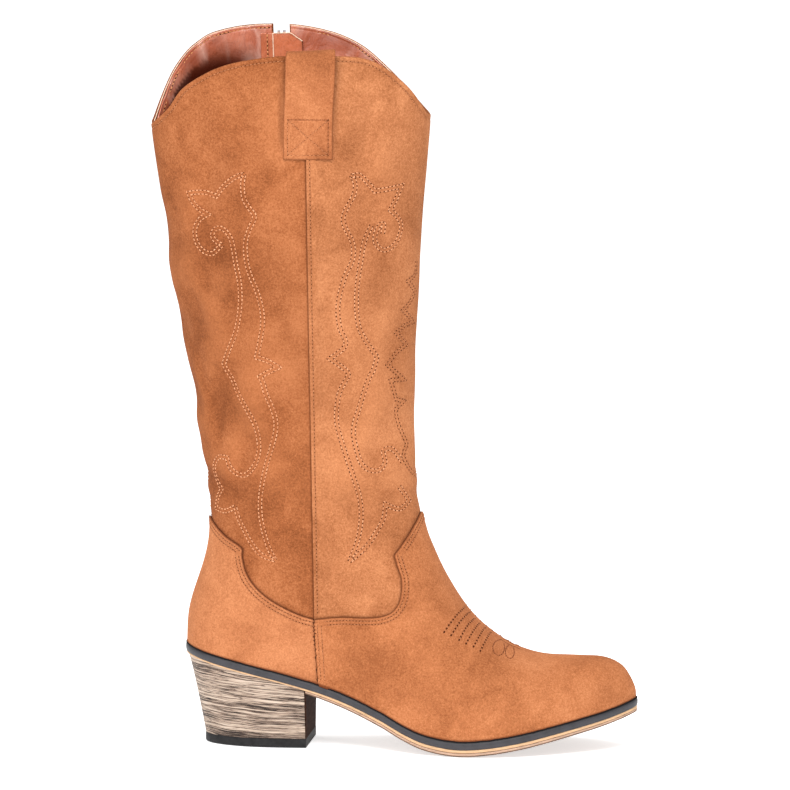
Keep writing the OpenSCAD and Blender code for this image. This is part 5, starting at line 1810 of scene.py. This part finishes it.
def tread_ring(around, offset):
    reach, width = TREAD_REACH + offset, TREAD_HALF_WIDTH + offset
    x = BREAST_X - (BREAST_X + reach) * (1 - np.abs(around) ** 1.9)
    u = np.clip((BREAST_X - x) / (BREAST_X + reach), 0, 1)
    end = np.sqrt(np.maximum(0, 1 - u**3.2))
    return x, np.sign(around) * width * end * (0.94 + 0.06 * np.sin(np.pi * u))


def heel_rings(offset, count, levels, reach=1.0):
    """Rings from the seat down to the top lift; reach below 1 stops short of the breast."""
    around = spread(count) * reach
    seat_x, seat_y = seat_ring(around, offset)
    foot_x, foot_y = tread_ring(around, offset)
    seat_z = midsole_z(np.minimum(seat_x, BREAST_X)) - 0.06
    rings = []
    for v in np.linspace(0, 1, levels + 1):
        share = v**0.85
        rings.append(np.stack([seat_x * (1 - share) + foot_x * share,
                               seat_y * (1 - share) + foot_y * share,
                               seat_z * (1 - v) + LIFT_TOP * v], -1))
    return rings


def capped(rings):
    """Solid from rings open at the breast, closed by a flat face there and two caps."""
    count = len(rings[0])
    index = ring_index(len(rings), count)
    faces = quads(index) + quads(index[:, [-1, 0]])
    for ring, reverse in ((index[0].tolist(), True), (index[-1].tolist(), False)):
        for i in range(count // 2):
            a, b, c, d = ring[i], ring[i + 1], ring[count - 2 - i], ring[count - 1 - i]
            face = (a, b, c, d) if b != c else (a, b, d)
            faces.append(face[::-1] if reverse else face)
    return np.vstack(rings), faces


outer, inner = (heel_rings(offset, 150, 34, reach=0.9952)
                for offset in (0.0, -VENEER_THICKNESS))
wrap_faces = [face[::-1] for face in quads(ring_index(len(outer), len(outer[0])), flip=True)]
points, faces = shell(np.vstack(outer), np.vstack(inner), wrap_faces)
build("heel_veneer_wrap", points, faces, VENEER, "heel_veneer", ["heel_wrap"], sharp=45)
build("heel_stack", *capped(heel_rings(-VENEER_THICKNESS - 0.02, 80, 16)), HEEL_CORE,
      "heel_core", ["heel_block"], sharp=40)

lift_rings = []
# z and offset of the top lift's rings
for z, offset in ((5.66, -0.25), (5.5, 0.02), (5.1, 0.14), (3.0, 0.16), (0.9, 0.1),
                  (0.35, -0.12), (0.08, -0.55), (0.0, -1.0)):
    x, y = tread_ring(spread(120), offset)
    x = np.minimum(x, BREAST_X - (0.3 if z < 0.2 else 0.0))
    lift_rings.append(np.stack([x, y, z + 0 * x], -1))
build("top_lift_rubber_pad", *capped(lift_rings), TOP_LIFT, "top_lift", ["top_lift"], sharp=40)

# ------------------------------------------------------------------ finishes of the CAD pieces
FINISHES = {
    "zip_slider": (NICKEL, "zip_metal"), "zip_puller": (NICKEL, "zip_metal"),
    "zip_top_stops": (NICKEL, "zip_metal"), "zip_bottom_stop": (NICKEL, "zip_metal"),
    "zip_teeth_front": (COIL, "zip_teeth"), "zip_teeth_back": (COIL, "zip_teeth"),
    "insole_board": (BOARD, "fibreboard"), "steel_shank": (STEEL, "steel"),
    "shank_rivets": (BRASS, "rivet"), "bottom_filler": (FILLER, "filler"),
    "top_lift_dowels": (STEEL, "steel"), "heel_nails": (STEEL, "steel"),
    "heel_screw": (STEEL, "steel"), "toe_puff": (STIFFENER, "stiffener"),
    "heel_stiffener": (STIFFENER, "stiffener")}
for name, (material, slot) in FINISHES.items():
    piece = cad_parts[name]
    piece.data.materials.clear()
    piece.data.materials.append(material)
    if name.startswith("zip"):
        bevel = piece.modifiers.new("edges", "BEVEL")
        bevel.width = 0.00018
        bevel.segments = 2
        bevel.limit_method = "ANGLE"

# ------------------------------------------------------------------ stage, in metres
scene = bpy.context.scene
FLOOR_HALF = 6.0
TARGET = (0.084, 0, 0.216)


def pale_floor():
    mesh = bpy.data.meshes.new("floor")
    corners = [(x * FLOOR_HALF, y * FLOOR_HALF, 0)
               for x, y in ((-1, -1), (1, -1), (1, 1), (-1, 1))]
    mesh.from_pydata(corners, [], [(0, 1, 2, 3)])
    floor = bpy.data.objects.new("floor", mesh)
    scene.collection.objects.link(floor)
    mesh.materials.append(Shader("floor_pale").finish({
        "Base Color": (0.95, 0.95, 0.95, 1), "Emission Color": (1, 1, 1, 1),
        "Emission Strength": 0.6, "Roughness": 0.9, "Specular IOR Level": 0.1}))
    floor.location.z = -0.0002


def white_world():
    """White all round; the camera sees it brighter than it lights the boot."""
    world = bpy.data.worlds.new("studio")
    scene.world = world
    world.use_nodes = True
    tree = world.node_tree
    background = tree.nodes["Background"]
    background.inputs["Color"].default_value = (1, 1, 1, 1)
    ray = tree.nodes.new("ShaderNodeLightPath")
    strength = tree.nodes.new("ShaderNodeMapRange")
    strength.inputs["To Min"].default_value = 0.62
    strength.inputs["To Max"].default_value = 1.02
    tree.links.new(ray.outputs["Is Camera Ray"], strength.inputs["Value"])
    tree.links.new(strength.outputs["Result"], background.inputs["Strength"])


def area_light(name, location, size, power):
    light = bpy.data.lights.new(name, "AREA")
    light.size = size
    light.energy = power
    lamp = bpy.data.objects.new(name, light)
    scene.collection.objects.link(lamp)
    lamp.location = location
    way = Vector(TARGET) - Vector(location)
    lamp.rotation_euler = way.to_track_quat("-Z", "Y").to_euler()


def aim_camera(azimuth, elevation, distance, lens):
    """Looks at the target from the outer side; angles in degrees."""
    data = bpy.data.cameras.new("camera")
    data.lens = lens
    data.sensor_width = 36
    data.clip_end = 40
    camera = bpy.data.objects.new("camera", data)
    scene.collection.objects.link(camera)
    turned, raised = math.radians(azimuth), math.radians(elevation)
    away = Vector((math.sin(turned) * math.cos(raised), -math.cos(turned) * math.cos(raised),
                   math.sin(raised)))
    camera.location = Vector(TARGET) + away * distance
    camera.rotation_euler = (-away).to_track_quat("-Z", "Y").to_euler()
    scene.camera = camera


pale_floor()
white_world()
area_light("key", (0.2, -1.5, 1.75), size=0.8, power=36)
area_light("fill", (-1.1, -1.5, 0.8), size=1.4, power=8)
area_light("top", (0.1, 0.2, 1.9), size=1.0, power=10)
aim_camera(azimuth=7, elevation=8, distance=6.0, lens=447.5)
scene.view_settings.view_transform = "Standard"

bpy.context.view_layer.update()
